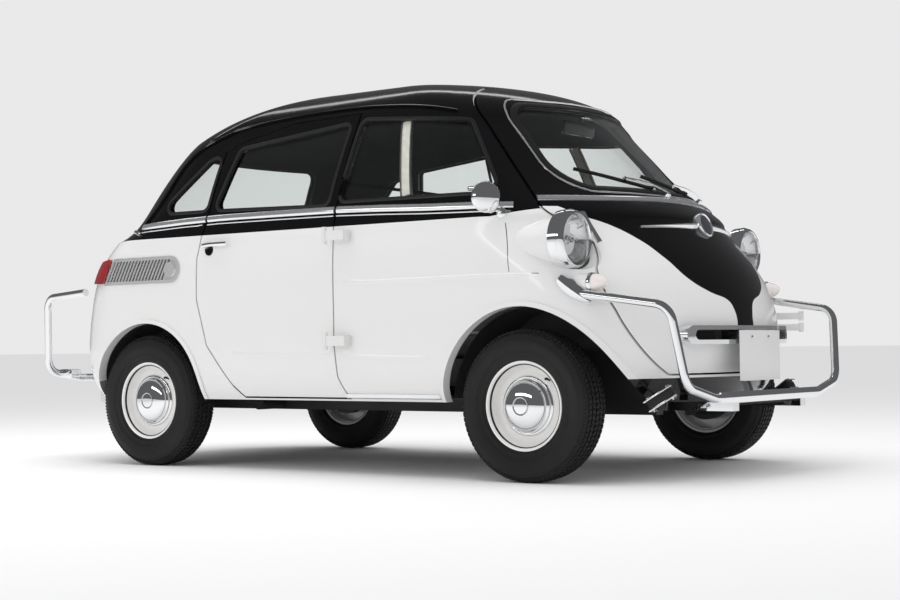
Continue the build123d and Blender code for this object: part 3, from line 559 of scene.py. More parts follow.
# ---- window seals ----
SCREEN_CORNER, BEAD_CORNER, PANE_CORNER = 0.075, 0.06, 0.028
SCREEN_SEAL, SCREEN_GROW, PANE_GROW = 0.013, 0.01, 0.002
for name, pane, body, laid, bead_grow in (("windscreen", WINDSCREEN, "front_door", on_front, 0.026),
                                          ("rear_window", REAR_WINDOW, "body", on_back, 0.024)):
    seal_path = laid(outline(pane, SCREEN_CORNER, SCREEN_GROW), closed=True)
    bead_path = laid(outline(pane, BEAD_CORNER, bead_grow), closed=True)
    window_trim(name, seal_path, body, SCREEN_SEAL, bead_path)
for side, label in SIDES:
    for name, pane in PANES.items():
        body = "side_door" if side < 0 and name == "door_pane" else "body"
        seal_path = on_side(side, outline(pane, PANE_CORNER, PANE_GROW), closed=True)
        window_trim(f"{name}_{label}", seal_path, body)

# ---- belt, cowl and roof trim: sections are (sideways, up), lines are (x, z) or (y, z) ----
RAIL = mm((-12, -3), (12, -3), (12, 2), (9.2, 5.5), (4, 7.5), (-4, 7.5), (-9.2, 5.5), (-12, 2))
LINE = mm((-2.5, -2), (2.5, -2), (2.2, 2), (0, 3.2), (-2.2, 2))
BELT_LINE = mm((-830, 892), (-794, 894), (-600, 902), (-409, 906), (-100, 905), (152, 903), (350, 897),
               (535, 889), (790, 882), (858, 881))
LINE_DROP = 0.021
BELT_END = mm((-9, -4), (9, -4), (9, 6), (5, 13), (-5, 13), (-9, 6))
BELT_END_LINE = mm((-886, 874), (-856, 872), (-828, 862))
COWL_LINE = mm((-560, 904), (-378, 907), (-108, 915), (108, 915), (378, 907), (560, 904))
GUTTER_LINE = mm((-812, 905), (-735, 995), (-660, 1118), (-570, 1185), (-470, 1222), (-395, 1240),
                 (-150, 1262), (120, 1268), (337, 1256), (470, 1240), (560, 1222))
GUTTER = mm((-6, -3), (6, -3), (7, 7), (3, 9), (-3, 4), (-6, 3))


def height_on(line, x):
    for (x0, z0), (x1, z1) in zip(line, line[1:]):
        if x0 <= x <= x1:
            return z0 + (z1 - z0) * (x - x0) / (x1 - x0)
    return line[0][1] if x < line[0][0] else line[-1][1]


def belt_strip(shape, side, x0, x1, drop, section):
    count = max(2, round((x1 - x0) / 0.02))
    xs = [x0 + (x1 - x0) * k / count for k in range(count + 1)]
    sweep(shape, *on_side(side, [(x, height_on(BELT_LINE, x) - drop) for x in xs]), section)


for side, label in SIDES:
    runs = [("body", -0.826, 0.86)]
    if side < 0:
        runs = [("body", -0.826, -0.481), ("side_door", -0.471, 0.138), ("body", 0.15, 0.86)]
    for number, (body, x0, x1) in enumerate(runs):
        rail = Shape()
        belt_strip(rail, side, x0, x1, 0.0, RAIL)
        belt_strip(rail, side, x0, x1, LINE_DROP, LINE)
        rail.piece(f"belt_rail_{label}_{number}", bright_trim, body)

for side, label in SIDES:
    path = on_side(side, smooth_path(BELT_END_LINE, step=0.006))
    swell = [math.sin(math.pi * share) for share in shares(path[0])]
    belt_end = sweep(Shape(), *path, BELT_END, scales=[(0.45 + 0.55 * s, 0.5 + 0.5 * s) for s in swell])
    belt_end.piece(f"belt_end_{label}", chrome)

sweep(Shape(), *on_front(smooth_path(COWL_LINE)), RAIL).piece("cowl_rail", bright_trim, "front_door")

for side, label in SIDES:
    gutter = sweep(Shape(), *on_side(side, smooth_path(GUTTER_LINE)), GUTTER)
    gutter.piece(f"gutter_{label}", black_paint, "body", "black_paint")

# ---- pressed creases and the wing seam ----
CREASE = mm((-13, -1.5), (-6, 0.8), (0, 1.8), (6, 0.8), (13, -1.5), (0, -3))
SEAM = mm((-1.1, -1), (1.1, -1), (1.1, 0.4), (-1.1, 0.4))
WING_CREASE = mm((190, 652), (985, 657))
WING_SEAM = mm((850, 822), (872, 742), (882, 660), (985, 657))


def crease(name, side, points, body):
    """Rounded fold that fades out at both ends."""
    path = on_side(side, straight_path(points))
    scales = [(1, min(1.0, 8 * min(share, 1 - share) + 0.02)) for share in shares(path[0])]
    sweep(Shape(), *path, CREASE, scales=scales).piece(name, white_paint, body, "white_paint", sharp=80)


for side, label in SIDES:
    low_runs = [("body", mm((-400, 412), (560, 392)))]
    if side < 0:
        low_runs = [("side_door", mm((-335, 412), (130, 405))), ("body", mm((152, 404), (560, 392)))]
    for number, (body, points) in enumerate(low_runs):
        crease(f"low_crease_{label}_{number}", side, points, body)
    crease(f"wing_crease_{label}", side, WING_CREASE, "body")
    seam = sweep(Shape(), *on_side(side, straight_path(WING_SEAM)), SEAM)
    seam.piece(f"wing_seam_{label}", seam_and_shade_dark, "body", "black_paint", sharp=80)

# ---- badge and wings ----
BADGE_Z = 0.824
BADGE_CUP = mm((-24, 0), (-24, 36), (4, 44), (16, 44.5), (21, 42.5), (23, 38.5), (20, 35), (18, 34.5),
               (18, 0))
BADGE_DISC = mm((16, 0), (16, 35.2), (20, 34.5), (22.2, 22), (23, 0))
WING_LINE = mm((30, 824), (120, 821), (220, 816), (317, 811))
WING = mm((-13, -2), (13, -2), (11, 5), (4, 13), (-4, 13), (-11, 5))
places, normals = on_front([(0, BADGE_Z)])
badge_at, badge_axis = places[0], (normals[0] + X * 0.9).normalized()
badge = lathe(Shape(), badge_at, badge_axis, BADGE_CUP)
for side, label in SIDES:
    path = on_front(smooth_path([(side * y, z) for y, z in WING_LINE], step=0.012))
    widths = [0.26 + 0.74 * (1 - share) ** 1.6 for share in shares(path[0])]
    sweep(badge, *path, WING, scales=[(w, 0.45 + 0.55 * w) for w in widths])
badge.piece("nose_wings", bright_trim, "front_door")
lathe(Shape(), badge_at, badge_axis, BADGE_DISC).piece("nose_disc", bare_disc, "front_door")

# ---- headlamps and indicators ----
QUARTER_TURN = [math.pi / 24 * k for k in range(13)]
LENS_OUTSIDE = [(0.03 + 0.022 * math.cos(a), 0.0785 * math.sin(a)) for a in QUARTER_TURN]
LENS_INSIDE = [(along - 0.003, max(0.0, radius - 0.002)) for along, radius in reversed(LENS_OUTSIDE)]
# Parts of a lamp: name, facets, finish, slot and the profiles that are turned.
LAMP_PARTS = (
    ("ring", 72, chrome, "chrome_trim",
     mm((-12, 78), (-12, 93.5), (4, 95), (26, 94), (36, 90.5), (41, 86), (42, 82), (38, 79), (26, 77.5),
        (-12, 78)),
     mm((14, 93.5), (16, 96.2), (20, 96.2), (22, 93.5), (14, 93.5))),
    ("bowl", 64, reflector, "chrome_trim",
     mm((28, 78.5), (16, 70), (2, 54), (-8, 30), (-10, 12), (-10, 0), (-14, 0), (-12, 32), (0, 60),
        (16, 76.5), (28, 78.5))),
    ("bulb", 24, brushed_chrome, "lamp_glass",
     mm((-12, 0), (-12, 14), (4, 14), (6, 10), (18, 10), (25, 6), (27, 0))),
    ("lens", 64, lamp_glass, "lamp_glass", LENS_OUTSIDE + LENS_INSIDE[:-1] + [(0.027, 0)]))
INDICATOR_PARTS = (
    ("foot", 48, white_paint, "white_paint",
     mm((-175, 0), (-175, 28), (-110, 30), (-62, 30.5), (-60, 30), (-60, 0))),
    ("hoop", 48, chrome, "chrome_trim",
     mm((-61, 22), (-61, 31.5), (-57, 32.8), (-51, 32.8), (-47, 30.8), (-46, 24), (-61, 22))),
    ("core", 24, amber_core, "amber_lens", mm((-60, 0), (-60, 15), (-26, 13), (-14, 7), (-12, 0))),
    ("lens", 48, clear_lens, "amber_lens",
     mm((-58, 0), (-50, 29), (-36, 27.5), (-22, 22.5), (-12, 17), (-4, 10.5), (0, 4), (0, 0))))


def lamps(family, place, parts):
    """Lamps on both sides, turned about an axis that looks forward; gives back the last side's pieces."""
    for side, label in SIDES:
        made = {}
        for part, facets, material, slot, *profiles in parts:
            shape = Shape()
            for profile in profiles:
                lathe(shape, (place[0], side * place[1], place[2]), X, profile, facets)
            made[part] = shape.piece(f"{family}_{part}_{label}", material, "body", slot)
    return made


lamp = lamps("headlamp", HEADLAMP, LAMP_PARTS)
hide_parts("headlamps")
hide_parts("headlamp_glass")
indicator = lamps("indicator", INDICATOR, INDICATOR_PARTS)
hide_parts("indicators")

# ---- door lever, side handle, lock ----
LEVER = mm((-8, -4), (8, -4), (7, 4), (0, 7), (-7, 4))
LEVER_FOOT = mm((0, 0), (0, 16), (8, 16), (12, 10), (26, 9), (26, 0))
HANDLE = mm((-7, -4), (7, -4), (7, 2), (0, 5), (-7, 2))
HANDLE_FOOT = mm((0, 0), (0, 14), (6, 13), (18, 9), (18, 0))
HANDLE_GUARD = mm((0, 0), (0, 21), (5, 20), (6, 12), (6, 0))


def grip(path, heights, step, section):
    """Bar that stands off the skin by its own height at each point."""
    line = smooth_path([p + n * high for p, n, high in zip(*path, heights)], step)
    return sweep(Shape(), line, [path[1][1]] * len(line), section)


path = on_front(mm((-489, 843), (-498, 792), (-507, 741)))
lever = grip(path, (0.02, 0.03, 0.024), 0.008, LEVER)
boss(lever, path[0][0], path[1][0], LEVER_FOOT)
lever.piece("nose_lever", chrome, "front_door")
path = on_side(-1, mm((-476, 806), (-420, 807), (-345, 808)))
handle = grip(path, (0.012, 0.026, 0.022), 0.01, HANDLE)
boss(handle, path[0][0] + X * 0.012, path[1][0], HANDLE_FOOT)
handle.piece("side_handle", chrome, "side_door")
places, normals = on_side(-1, [(-0.452, 0.79)])
guard = boss(Shape(), places[0], normals[0], HANDLE_GUARD, 28, sink=0.003)
guard.piece("side_handle_guard", black_paint, "side_door", "black_paint")

# ---- mirrors ----
MIRROR_DOME = mm((-8, 0), (-8, 44), (-9.5, 46), (-8, 49.5), (0, 50), (8, 46), (16, 36), (21, 22),
                 (23.5, 0))
MIRROR_FOOT = mm((0, 0), (0, 19), (6, 18), (13, 11), (16, 0))
MIRROR_TURN = (0.86, 0.51)  # forward and outward
MIRROR_FACE = mm((-8.6, 0), (-8.6, 43.5), (-7.8, 43.5), (-7.8, 0))
for side, label in SIDES:
    at = Vector((MIRROR[0], side * MIRROR[1], MIRROR[2]))
    places, normals = on_side(side, [MIRROR_BASE])
    facing = Vector((MIRROR_TURN[0], side * MIRROR_TURN[1], 0))
    mirror = lathe(Shape(), at, facing, MIRROR_DOME, 56)
    foot = places[0] + normals[0] * 0.006
    stalk = [foot, foot + Vector((0, side * 0.03, 0.004)), at + Vector((0.008, -side * 0.006, -0.046)),
             at + Vector((0.01, side * 0.004, -0.03))]
    tube(mirror, smooth_path(stalk, step=0.008), 0.0055)
    boss(mirror, places[0], normals[0], MIRROR_FOOT, 28)
    mirror = mirror.piece(f"mirror_{label}", chrome)
    lathe(Shape(), at, facing, MIRROR_FACE, 56).piece(f"mirror_face_{label}", mirror_face)
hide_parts("mirrors")

# ---- wipers ----
# Pivot, middle of the blade, its tip and its heel, as (y, z).
WIPERS = [("right", mm((-40, 927), (-185, 972), (-345, 1008), (-75, 952))),
          ("left", mm((230, 923), (110, 965), (-55, 998), (185, 950)))]
WIPER_FOOT = mm((0, 0), (0, 13), (10, 11), (22, 8), (26, 0))
WIPER_PIN = mm((0, 0), (0, 6), (16, 5), (18, 0))
WIPER_ARM = mm((-4, -1.5), (4, -1.5), (3.5, 2.5), (-3.5, 2.5))
WIPER_BACK = mm((-4, -2), (4, -2), (3, 4), (-3, 4))
WIPER_LIP = mm((-1, -2), (1, -2), (1.5, 5), (-1.5, 5))
for label, points in WIPERS:
    ends, ups = on_front(points, skin_and_glass)
    arm = boss(Shape(), ends[0], ups[0], WIPER_FOOT)
    reach = smooth_path([ends[0] + ups[0] * 0.02, ends[0].lerp(ends[1], 0.5) + ups[1] * 0.03,
                         ends[1] + ups[1] * 0.022], step=0.01)
    sweep(arm, reach, [ups[1]] * len(reach), WIPER_ARM)
    lathe(arm, ends[1] + ups[1] * 0.01, ups[1], WIPER_PIN, 16)
    arm.piece(f"wiper_arm_{label}", chrome, "front_door")
    middle, tip, heel = points[1:]
    path = on_front(straight_path([heel, middle, tip]), skin_and_glass)
    blade = sweep(Shape(), raised(path, 0.01), path[1], WIPER_BACK)
    sweep(blade, raised(path, 0.004), path[1], WIPER_LIP)
    blade.piece(f"wiper_blade_{label}", rubber, "front_door", "black_paint")

# ---- plate and bar insets ----
PLATE_BOLT = mm((0, 0), (0, 5.5), (3, 5), (4.2, 3), (4.5, 0))
BAR_INSET = mm((-18, 1), (18, 1), (18, 7), (-18, 7))
plate = block(Shape(), (1.4087, 0, 0.3925), (0.0018, 0.296, 0.163), round_by=0.0005)
plate.piece("number_plate", plate_paint, "front_door", "dash_paint")
bolts, insets = Shape(), Shape()
for side, label in SIDES:
    lathe(bolts, (1.4094, side * 0.06, 0.452), X, PLATE_BOLT, 20)
    sweep(insets, *on_front([(side * (0.072 + 0.26 * k / 18), 0.46) for k in range(19)]), BAR_INSET)
bolts.piece("plate_bolts", brushed_chrome, "front_door")
insets.piece("bar_insets", black_paint, "front_door", "black_paint")

# ---- bumper brackets, clamps and the step blade ----
BRACKET = mm((-31, -8), (31, -8), (28, 7), (13, 20), (-13, 20), (-28, 7))
BRACKET_LINE = mm((1048, 638), (1094, 604), (1140, 566))
CLAMP_TURN, CLAMP_DIP, CLAMP_AT = math.radians(16), math.radians(-32), (1.282, 0.444, 0.262)
CLAMP_BOLT = mm((-3, 0), (-3, 8), (4, 8), (4, 5), (42, 5), (42, 8), (47, 7), (48, 0))
STEP_BLADE = mm((-4.5, -16), (2, -18), (4.5, -13), (4.5, 13), (2, 18), (-4.5, 16))
for side, label in SIDES:
    places, normals = on_side(side, BRACKET_LINE)
    line = smooth_path(places, step=0.008)
    plump = [(0.35 + 0.65 * math.sin(math.pi * min(1, 0.15 + 0.75 * share)), 1) for share in shares(line)]
    bracket = sweep(Shape(), line, [normals[1]] * len(line), BRACKET, scales=plump)
    bracket.piece(f"bumper_bracket_{label}", chrome)
    clamp = Shape()
    lean = Matrix.Rotation(-side * CLAMP_TURN, 3, "Z") @ Matrix.Rotation(CLAMP_DIP, 3, "Y")
    middle = Vector((CLAMP_AT[0], side * CLAMP_AT[1], CLAMP_AT[2]))
    for lift in (-0.0165, 0.0165):
        block(clamp, middle + lean @ Vector((0, 0, lift)), (0.1, 0.046, 0.0055), lean, 0.0018)
    for along in (-0.036, 0.036):
        lathe(clamp, middle + lean @ Vector((along, 0, -0.022)), lean @ Z, CLAMP_BOLT, 12)
    clamp.piece(f"jack_clamp_{label}", chrome)
    jack_pad = block(Shape(), middle, (0.088, 0.04, 0.026), lean, 0.004)
    jack_pad.piece(f"jack_pad_{label}", rubber, "body", "chassis_black")
    rear_clamp = block(Shape(), (-1.4, side * 0.47, 0.34), (0.066, 0.05, 0.034), None, 0.004)
    block(rear_clamp, (-1.352, side * 0.47, 0.332), (0.05, 0.04, 0.008), None, 0.002)
    rear_clamp.piece(f"rear_clamp_{label}", chrome)
line = smooth_path([(1.4445, y, 0.262) for y in (-0.36, 0, 0.36)], step=0.03)
sweep(Shape(), line, [Z] * len(line), STEP_BLADE).piece("bumper_blade", chrome)

# ---- sill strips ----
SILL_STRIP = mm((-9, -3), (9, -3), (9, 3), (4, 6), (-9, 4))
for side, label in SIDES:
    strip = sweep(Shape(), *on_side(side, straight_path(mm((185, 268), (592, 268)))), SILL_STRIP)
    strip.piece(f"sill_strip_{label}", bright_trim)


# ---- wheels ----
def around_tree():
    """Sets copies of one unit round a ring, facing outward."""
    tree = bpy.data.node_groups.new("around", "GeometryNodeTree")
    for name, kind in (("Unit", "Geometry"), ("Count", "Int"), ("Radius", "Float"), ("Finish", "Material")):
        tree.interface.new_socket(name, in_out="INPUT", socket_type="NodeSocket" + kind)
    tree.interface.new_socket("Copies", in_out="OUTPUT", socket_type="NodeSocketGeometry")
    given, result = tree.nodes.new("NodeGroupInput"), tree.nodes.new("NodeGroupOutput")
    ring = tree.nodes.new("GeometryNodeMeshCircle")
    place = tree.nodes.new("GeometryNodeInstanceOnPoints")
    where = tree.nodes.new("GeometryNodeInputPosition")
    face_out = tree.nodes.new("FunctionNodeAlignRotationToVector")
    face_out.axis = "X"
    face_out.pivot_axis = "Z"
    solid = tree.nodes.new("GeometryNodeRealizeInstances")
    colour = tree.nodes.new("GeometryNodeSetMaterial")
    for source, target in ((given.outputs["Count"], ring.inputs["Vertices"]),
                           (given.outputs["Radius"], ring.inputs["Radius"]),
                           (ring.outputs[0], place.inputs["Points"]),
                           (given.outputs["Unit"], place.inputs["Instance"]),
                           (where.outputs[0], face_out.inputs["Vector"]),
                           (face_out.outputs[0], place.inputs["Rotation"]),
                           (place.outputs[0], solid.inputs[0]),
                           (solid.outputs[0], colour.inputs["Geometry"]),
                           (given.outputs["Finish"], colour.inputs["Material"]),
                           (colour.outputs[0], result.inputs[0])):
        tree.links.new(source, target)
    return tree


around = around_tree()


def add_copies(shape, name, unit, count, radius, place):
    """Adds a unit repeated round a ring to a shape, moved to its place."""
    mesh = bpy.data.meshes.new(name + "_unit")
    mesh.from_pydata([tuple(p) for p in unit.points], [], unit.faces)
    holder = bpy.data.objects.new(name + "_unit", mesh)
    collection.objects.link(holder)
    modifier = holder.modifiers.new("around", "NODES")
    modifier.node_group = around
    sockets = {item.name: item.identifier for item in around.interface.items_tree}
    modifier[sockets["Count"]] = count
    modifier[sockets["Radius"]] = radius
    modifier[sockets["Finish"]] = tyre_rubber
    bpy.context.view_layer.update()
    made = bpy.data.meshes.new_from_object(holder.evaluated_get(bpy.context.evaluated_depsgraph_get()))
    made.transform(place)
    bpy.data.objects.remove(holder)
    shape.add([vert.co for vert in made.vertices], [list(face.vertices) for face in made.polygons])


# Rows of tread blocks: (place across the tyre, width of the row, height of a block, radius it stands on).
TREAD_ROWS = mm((-40, 10, 4.2, 236.3), (-21.5, 14, 5, 236.9), (0, 16, 5, 236.9), (21.5, 14, 5, 236.9),
                (40, 10, 4.2, 236.3))
TREAD_LEAN, TREAD_LOW, TREAD_TOP, TREAD_SINK = 0.0035, 0.0068, 0.006, 0.002
# Outside of the tyre from one bead to the middle of the tread: (along the axle, radius).
TYRE_SIDE = mm((-47, 134), (-54, 145), (-57.5, 152), (-59, 153), (-58.5, 156), (-61.2, 166),
               (-62.2, 166.4), (-62.4, 167.6), (-61.9, 168.2), (-62.8, 173), (-64, 173.5), (-64.2, 174.7),
               (-63.5, 175.4), (-65, 186), (-66, 196), (-65, 208), (-64, 209.5), (-62.8, 211), (-60, 220),
               (-54.5, 229), (-49, 234.5), (-40, 236.5), (-20, 237))
TYRE = (TYRE_SIDE + [(0, 0.237)] + [(-along, radius) for along, radius in reversed(TYRE_SIDE)]
        + [(0.047, 0.13), (0, 0.13), (-0.047, 0.13), TYRE_SIDE[0]])
WHEEL_DISC = mm((49, 136), (50, 140.5), (52.5, 143), (54.5, 142), (55, 138.5), (52, 135), (45.5, 132.5),
                (40, 130), (34, 128.5), (25, 127), (19, 123.5), (16.5, 118), (18, 111), (21.5, 104),
                (24, 98), (24.5, 93), (25, 89), (29, 86), (30, 83), (30, 23), (10, 23), (10, 126),
                (-30, 127), (-43, 126), (-52, 140), (-50, 143), (-46, 142), (-39, 129.5), (39, 129.5),
                (45.5, 134.5), (49, 136))
CAP_FOOT = 0.03
CAP_EDGE = mm((30, 0), (30, 83), (32, 85), (34.5, 84.5), (36, 81.5), (38.5, 80))
CAP_BAND = mm((23, 85), (30, 86), (30.8, 88), (29.6, 93), (26.2, 96.5), (24, 97.5), (23, 96), (23, 85))
# The bare disc on the cap, measured from the cap's top.
CAP_DISC = mm((-8, 0), (-8, 30), (-1.2, 30), (0.6, 28.5), (0.4, 26.2), (-1.4, 25), (-0.4, 12), (-0.2, 0))
VALVE_CAP = mm((0, 0), (0, 4.5), (10, 4.2), (11, 0))
WHEEL_FACETS, TREAD_BLOCKS, SHOULDER_RIBS, SHOULDER_RADIUS = 96, 88, 120, 0.2303
BOX_FACES = [(0, 1, 2, 3), (4, 5, 6, 7), (0, 1, 5, 4), (1, 2, 6, 5), (2, 3, 7, 6), (3, 0, 4, 7)]


def tread_block(row, along, width, high):
    """One block of a tread row, narrower at its top and leaning the other way in every second row."""
    lean = TREAD_LEAN if row % 2 else -TREAD_LEAN
    low, w = TREAD_LOW, width / 2
    points = [(-TREAD_SINK, -low - lean, along - w), (-TREAD_SINK, low - lean, along - w),
              (-TREAD_SINK, low + lean, along + w), (-TREAD_SINK, -low + lean, along + w)]
    points += [(high, math.copysign(TREAD_TOP, y + shift) - shift, z * 0.96 + along * 0.04)
               for (x, y, z), shift in zip(points, (lean, lean, -lean, -lean))]
    return Shape().add(points, BOX_FACES)


for name, x, side, half_track, depth in (("front_left", FRONT_AXLE_X, 1, FRONT_WHEEL_Y, 0.042),
                                         ("front_right", FRONT_AXLE_X, -1, FRONT_WHEEL_Y, 0.042),
                                         ("rear_left", REAR_AXLE_X, 1, REAR_WHEEL_Y, 0.032),
                                         ("rear_right", REAR_AXLE_X, -1, REAR_WHEEL_Y, 0.032)):
    middle = Vector((x, side * half_track, AXLE_Z))
    out = Y * side
    body = "wheel_" + name
    place = Matrix.Translation(middle) @ Matrix.Rotation(math.radians(-90 * side), 4, "X")
    tyre = lathe(Shape(), middle, out, TYRE, WHEEL_FACETS)
    for row, (along, width, high, reach) in enumerate(TREAD_ROWS):
        unit = tread_block(row, along, width, high)
        add_copies(tyre, f"tread_{name}_{row}", unit, TREAD_BLOCKS, reach, place)
    shoulder = Shape()
    for end, label in SIDES:
        block(shoulder, (0, 0, end * 0.0535), (0.004, 0.005, 0.012), Matrix.Rotation(end * -0.62, 3, "Y"))
    add_copies(tyre, f"shoulder_{name}", shoulder, SHOULDER_RIBS, SHOULDER_RADIUS, place)
    tyre = tyre.piece(f"tyre_tread_{name}", tyre_rubber, body, "tyre_rubber", sharp=30)
    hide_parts("tyre_" + name)

    wheel = lathe(Shape(), middle, out, WHEEL_DISC, WHEEL_FACETS)
    wheel = wheel.piece(f"wheel_disc_{name}", rim_paint, body, "rim_paint", sharp=50)
    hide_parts("rim_" + name)

    top = CAP_FOOT + depth
    dome = [(0.04 + (depth - 0.01) * math.sin(a), 0.078 * math.cos(a) ** 0.9)
            for a in (math.pi / 28 * k for k in range(14))]
    cap = lathe(Shape(), middle, out, CAP_EDGE + dome + [(top, 0)], 72)
    cap = lathe(cap, middle, out, CAP_BAND, 72).piece(f"cap_{name}", chrome, body, sharp=40)
    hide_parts("hub_cap_" + name)
    emblem = lathe(Shape(), middle, out, [(top + along, radius) for along, radius in CAP_DISC])
    emblem.piece(f"cap_disc_{name}", brushed_chrome, body)
    foot = middle + out * 0.024 + Vector((0.08, 0, 0.081))
    aside = Vector((1, 0, 1))
    stem = [foot, foot + out * 0.01 + aside * 0.002, foot + out * 0.022 + aside * 0.005]
    valve = tube(Shape(), stem, 0.0035)
    lathe(valve, foot + out * 0.02 + aside * 0.0045, out, VALVE_CAP, 16)
    valve.piece(f"valve_{name}", rubber, body, "tyre_rubber")


# ---- stuffed seats ----
CELL, PAD_CORNER, PLEAT, MOST_FILL, CLOTH_FRAMES = 0.015, 0.028, 0.09, 0.022, 16
CLOTH = {"quality": 4, "mass": 0.3, "tension_stiffness": 25, "compression_stiffness": 25,
         "bending_stiffness": 0.3, "use_pressure": True, "uniform_pressure_force": 5,
         "vertex_group_mass": "sewn"}


def fill_out(pad, sewn):
    """Blows the pad up as cloth, keeps the shape it takes and rounds it once more."""
    pad.vertex_groups.new(name="sewn").add(sewn, 1.0, "REPLACE")
    cloth = pad.modifiers.new("cloth", "CLOTH")
    for setting, value in CLOTH.items():
        setattr(cloth.settings, setting, value)
    cloth.settings.effector_weights.gravity = 0
    cloth.point_cache.frame_start = 1
    cloth.point_cache.frame_end = CLOTH_FRAMES
    for number in range(1, CLOTH_FRAMES + 1):
        scene.frame_set(number)
    filled = bpy.data.meshes.new_from_object(pad.evaluated_get(bpy.context.evaluated_depsgraph_get()))
    pad.modifiers.remove(cloth)
    for vert, now in zip(pad.data.vertices, filled.vertices):
        shift = now.co - vert.co
        if shift.length > MOST_FILL:
            shift = shift.normalized() * MOST_FILL
        vert.co = vert.co + shift
    bpy.data.meshes.remove(filled)
    scene.frame_set(1)
    smoother = pad.modifiers.new("finer", "SUBSURF")
    smoother.levels = smoother.render_levels = 1
    finer = bpy.data.meshes.new_from_object(pad.evaluated_get(bpy.context.evaluated_depsgraph_get()))
    pad.modifiers.remove(smoother)
    pad.data = finer
    pad.data.shade_smooth()


def soft_pad(name, low, high, node, thick_axis):
    """A pleated pad: sewn lines stay put while the cloth between them fills out.

    thick_axis is the axis the pad is thin along; its high end faces the sitter.
    """
    low, high = Vector(low), Vector(high)
    size = high - low
    cells = [max(2, round(s / CELL)) for s in size]
    shape = Shape()
    index = {}

    def vert(key):
        if key not in index:
            index[key] = len(shape.points)
            shape.points.append(Vector([lo + s * i / c for lo, s, i, c in zip(low, size, key, cells)]))
        return index[key]

    for axis in range(3):
        p_axis, q_axis = [a for a in range(3) if a != axis]
        for end in (0, cells[axis]):
            for p in range(cells[p_axis]):
                for q in range(cells[q_axis]):
                    corners = []
                    for dp, dq in ((0, 0), (1, 0), (1, 1), (0, 1)):
                        key = [end, end, end]
                        key[p_axis], key[q_axis] = p + dp, q + dq
                        corners.append(vert(tuple(key)))
                    shape.faces.append(corners)
    sewn = []
    for key, number in index.items():
        here = shape.points[number]
        core = Vector([min(max(c, lo + PAD_CORNER), hi - PAD_CORNER) for c, lo, hi in zip(here, low, high)])
        away = here - core
        if away.length > 1e-6:
            shape.points[number] = core + away.normalized() * min(away.length, PAD_CORNER)
        edge = any(key[a] in (0, cells[a]) for a in range(3) if a != thick_axis)
        on_face = key[thick_axis] == cells[thick_axis] and not edge
        on_pleat = (key[1] - cells[1] // 2) % round(PLEAT / CELL) == 0
        if key[thick_axis] / cells[thick_axis] < 0.5 or (on_face and on_pleat):
            sewn.append(number)
    pad = shape.piece(name, seat_cloth, "body", "seat_cloth", sharp=60)
    fill_out(pad, sewn)
    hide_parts(node)


soft_pad("front_seat_cushion", (0.125, -0.53, 0.395), (0.555, 0.53, 0.482), "front_seat", 2)
soft_pad("front_seat_back", (0.03, -0.53, 0.44), (0.1, 0.53, 0.85), "front_seat", 0)
soft_pad("rear_seat_cushion", (-0.465, -0.53, 0.385), (-0.155, 0.53, 0.465), "rear_seat", 2)
soft_pad("rear_seat_back", (-0.57, -0.415, 0.43), (-0.492, 0.415, 0.845), "rear_seat", 0)
base = Shape()
for centre, size, round_by in (((0.34, 0, 0.345), (0.42, 1.05, 0.09), 0.008),
                               ((0.052, 0, 0.58), (0.03, 1.03, 0.52), 0.01),
                               ((-0.31, 0, 0.34), (0.3, 1.05, 0.08), 0.008),
                               ((-0.572, 0, 0.575), (0.018, 0.81, 0.52), 0.006)):
    block(base, centre, size, None, round_by)
base.piece("seat_bases", trim_vinyl, "body", "seat_cloth")
welts = Shape()
for x, z, half in ((0.549, 0.474, 0.51), (0.094, 0.846, 0.508), (-0.163, 0.458, 0.51), (-0.5, 0.84, 0.396)):
    tube(welts, [(x, -half, z), (x, 0, z), (x, half, z)], 0.004, 8)
welts.piece("seat_welts", piping, "body", "seat_cloth")

# ---- cabin details ----
POST = mm((-18, -5), (18, -5), (18, 2), (-18, 2))
POST_EDGE = mm((-3, -6), (3, -6), (3, 4), (-3, 4))
DIVIDER = mm((-4.5, -5), (4.5, -5), (3.5, 3), (-3.5, 3))
posts, edges, dividers, latches = Shape(), Shape(), Shape(), Shape()
for side, label in SIDES:
    path = on_side(side, straight_path(mm((436, 936), (372, 1200))), skin_and_glass)
    sunk = raised(path, -0.002)
    sweep(posts, sunk, path[1], POST)
    for shift in (-0.02, 0.02):
        sweep(edges, [p + X * shift for p in sunk], path[1], POST_EDGE)
    path = on_side(side, straight_path(mm((775, 932), (655, 1135))), skin_and_glass)
    sweep(dividers, raised(path, -0.001), path[1], DIVIDER)
    block(latches, (0.69, side * 0.612, 0.945), (0.03, 0.012, 0.014), None, 0.003)
posts.piece("pane_posts", wheel_plastic)
edges.piece("pane_post_edges", brushed_chrome)
dividers.piece("vent_dividers", rubber, "body", "black_paint")
latches.piece("vent_latches", chrome)
cabin_mirror = tube(Shape(), mm((760, 0, 1262), (740, 0, 1235), (728, 0, 1215)), 0.005)
block(cabin_mirror, (0.722, 0, 1.195), (0.016, 0.2, 0.05), Matrix.Rotation(math.radians(12), 3, "Y"), 0.006)
cabin_mirror.piece("cabin_mirror", black_paint, "front_door", "black_paint")

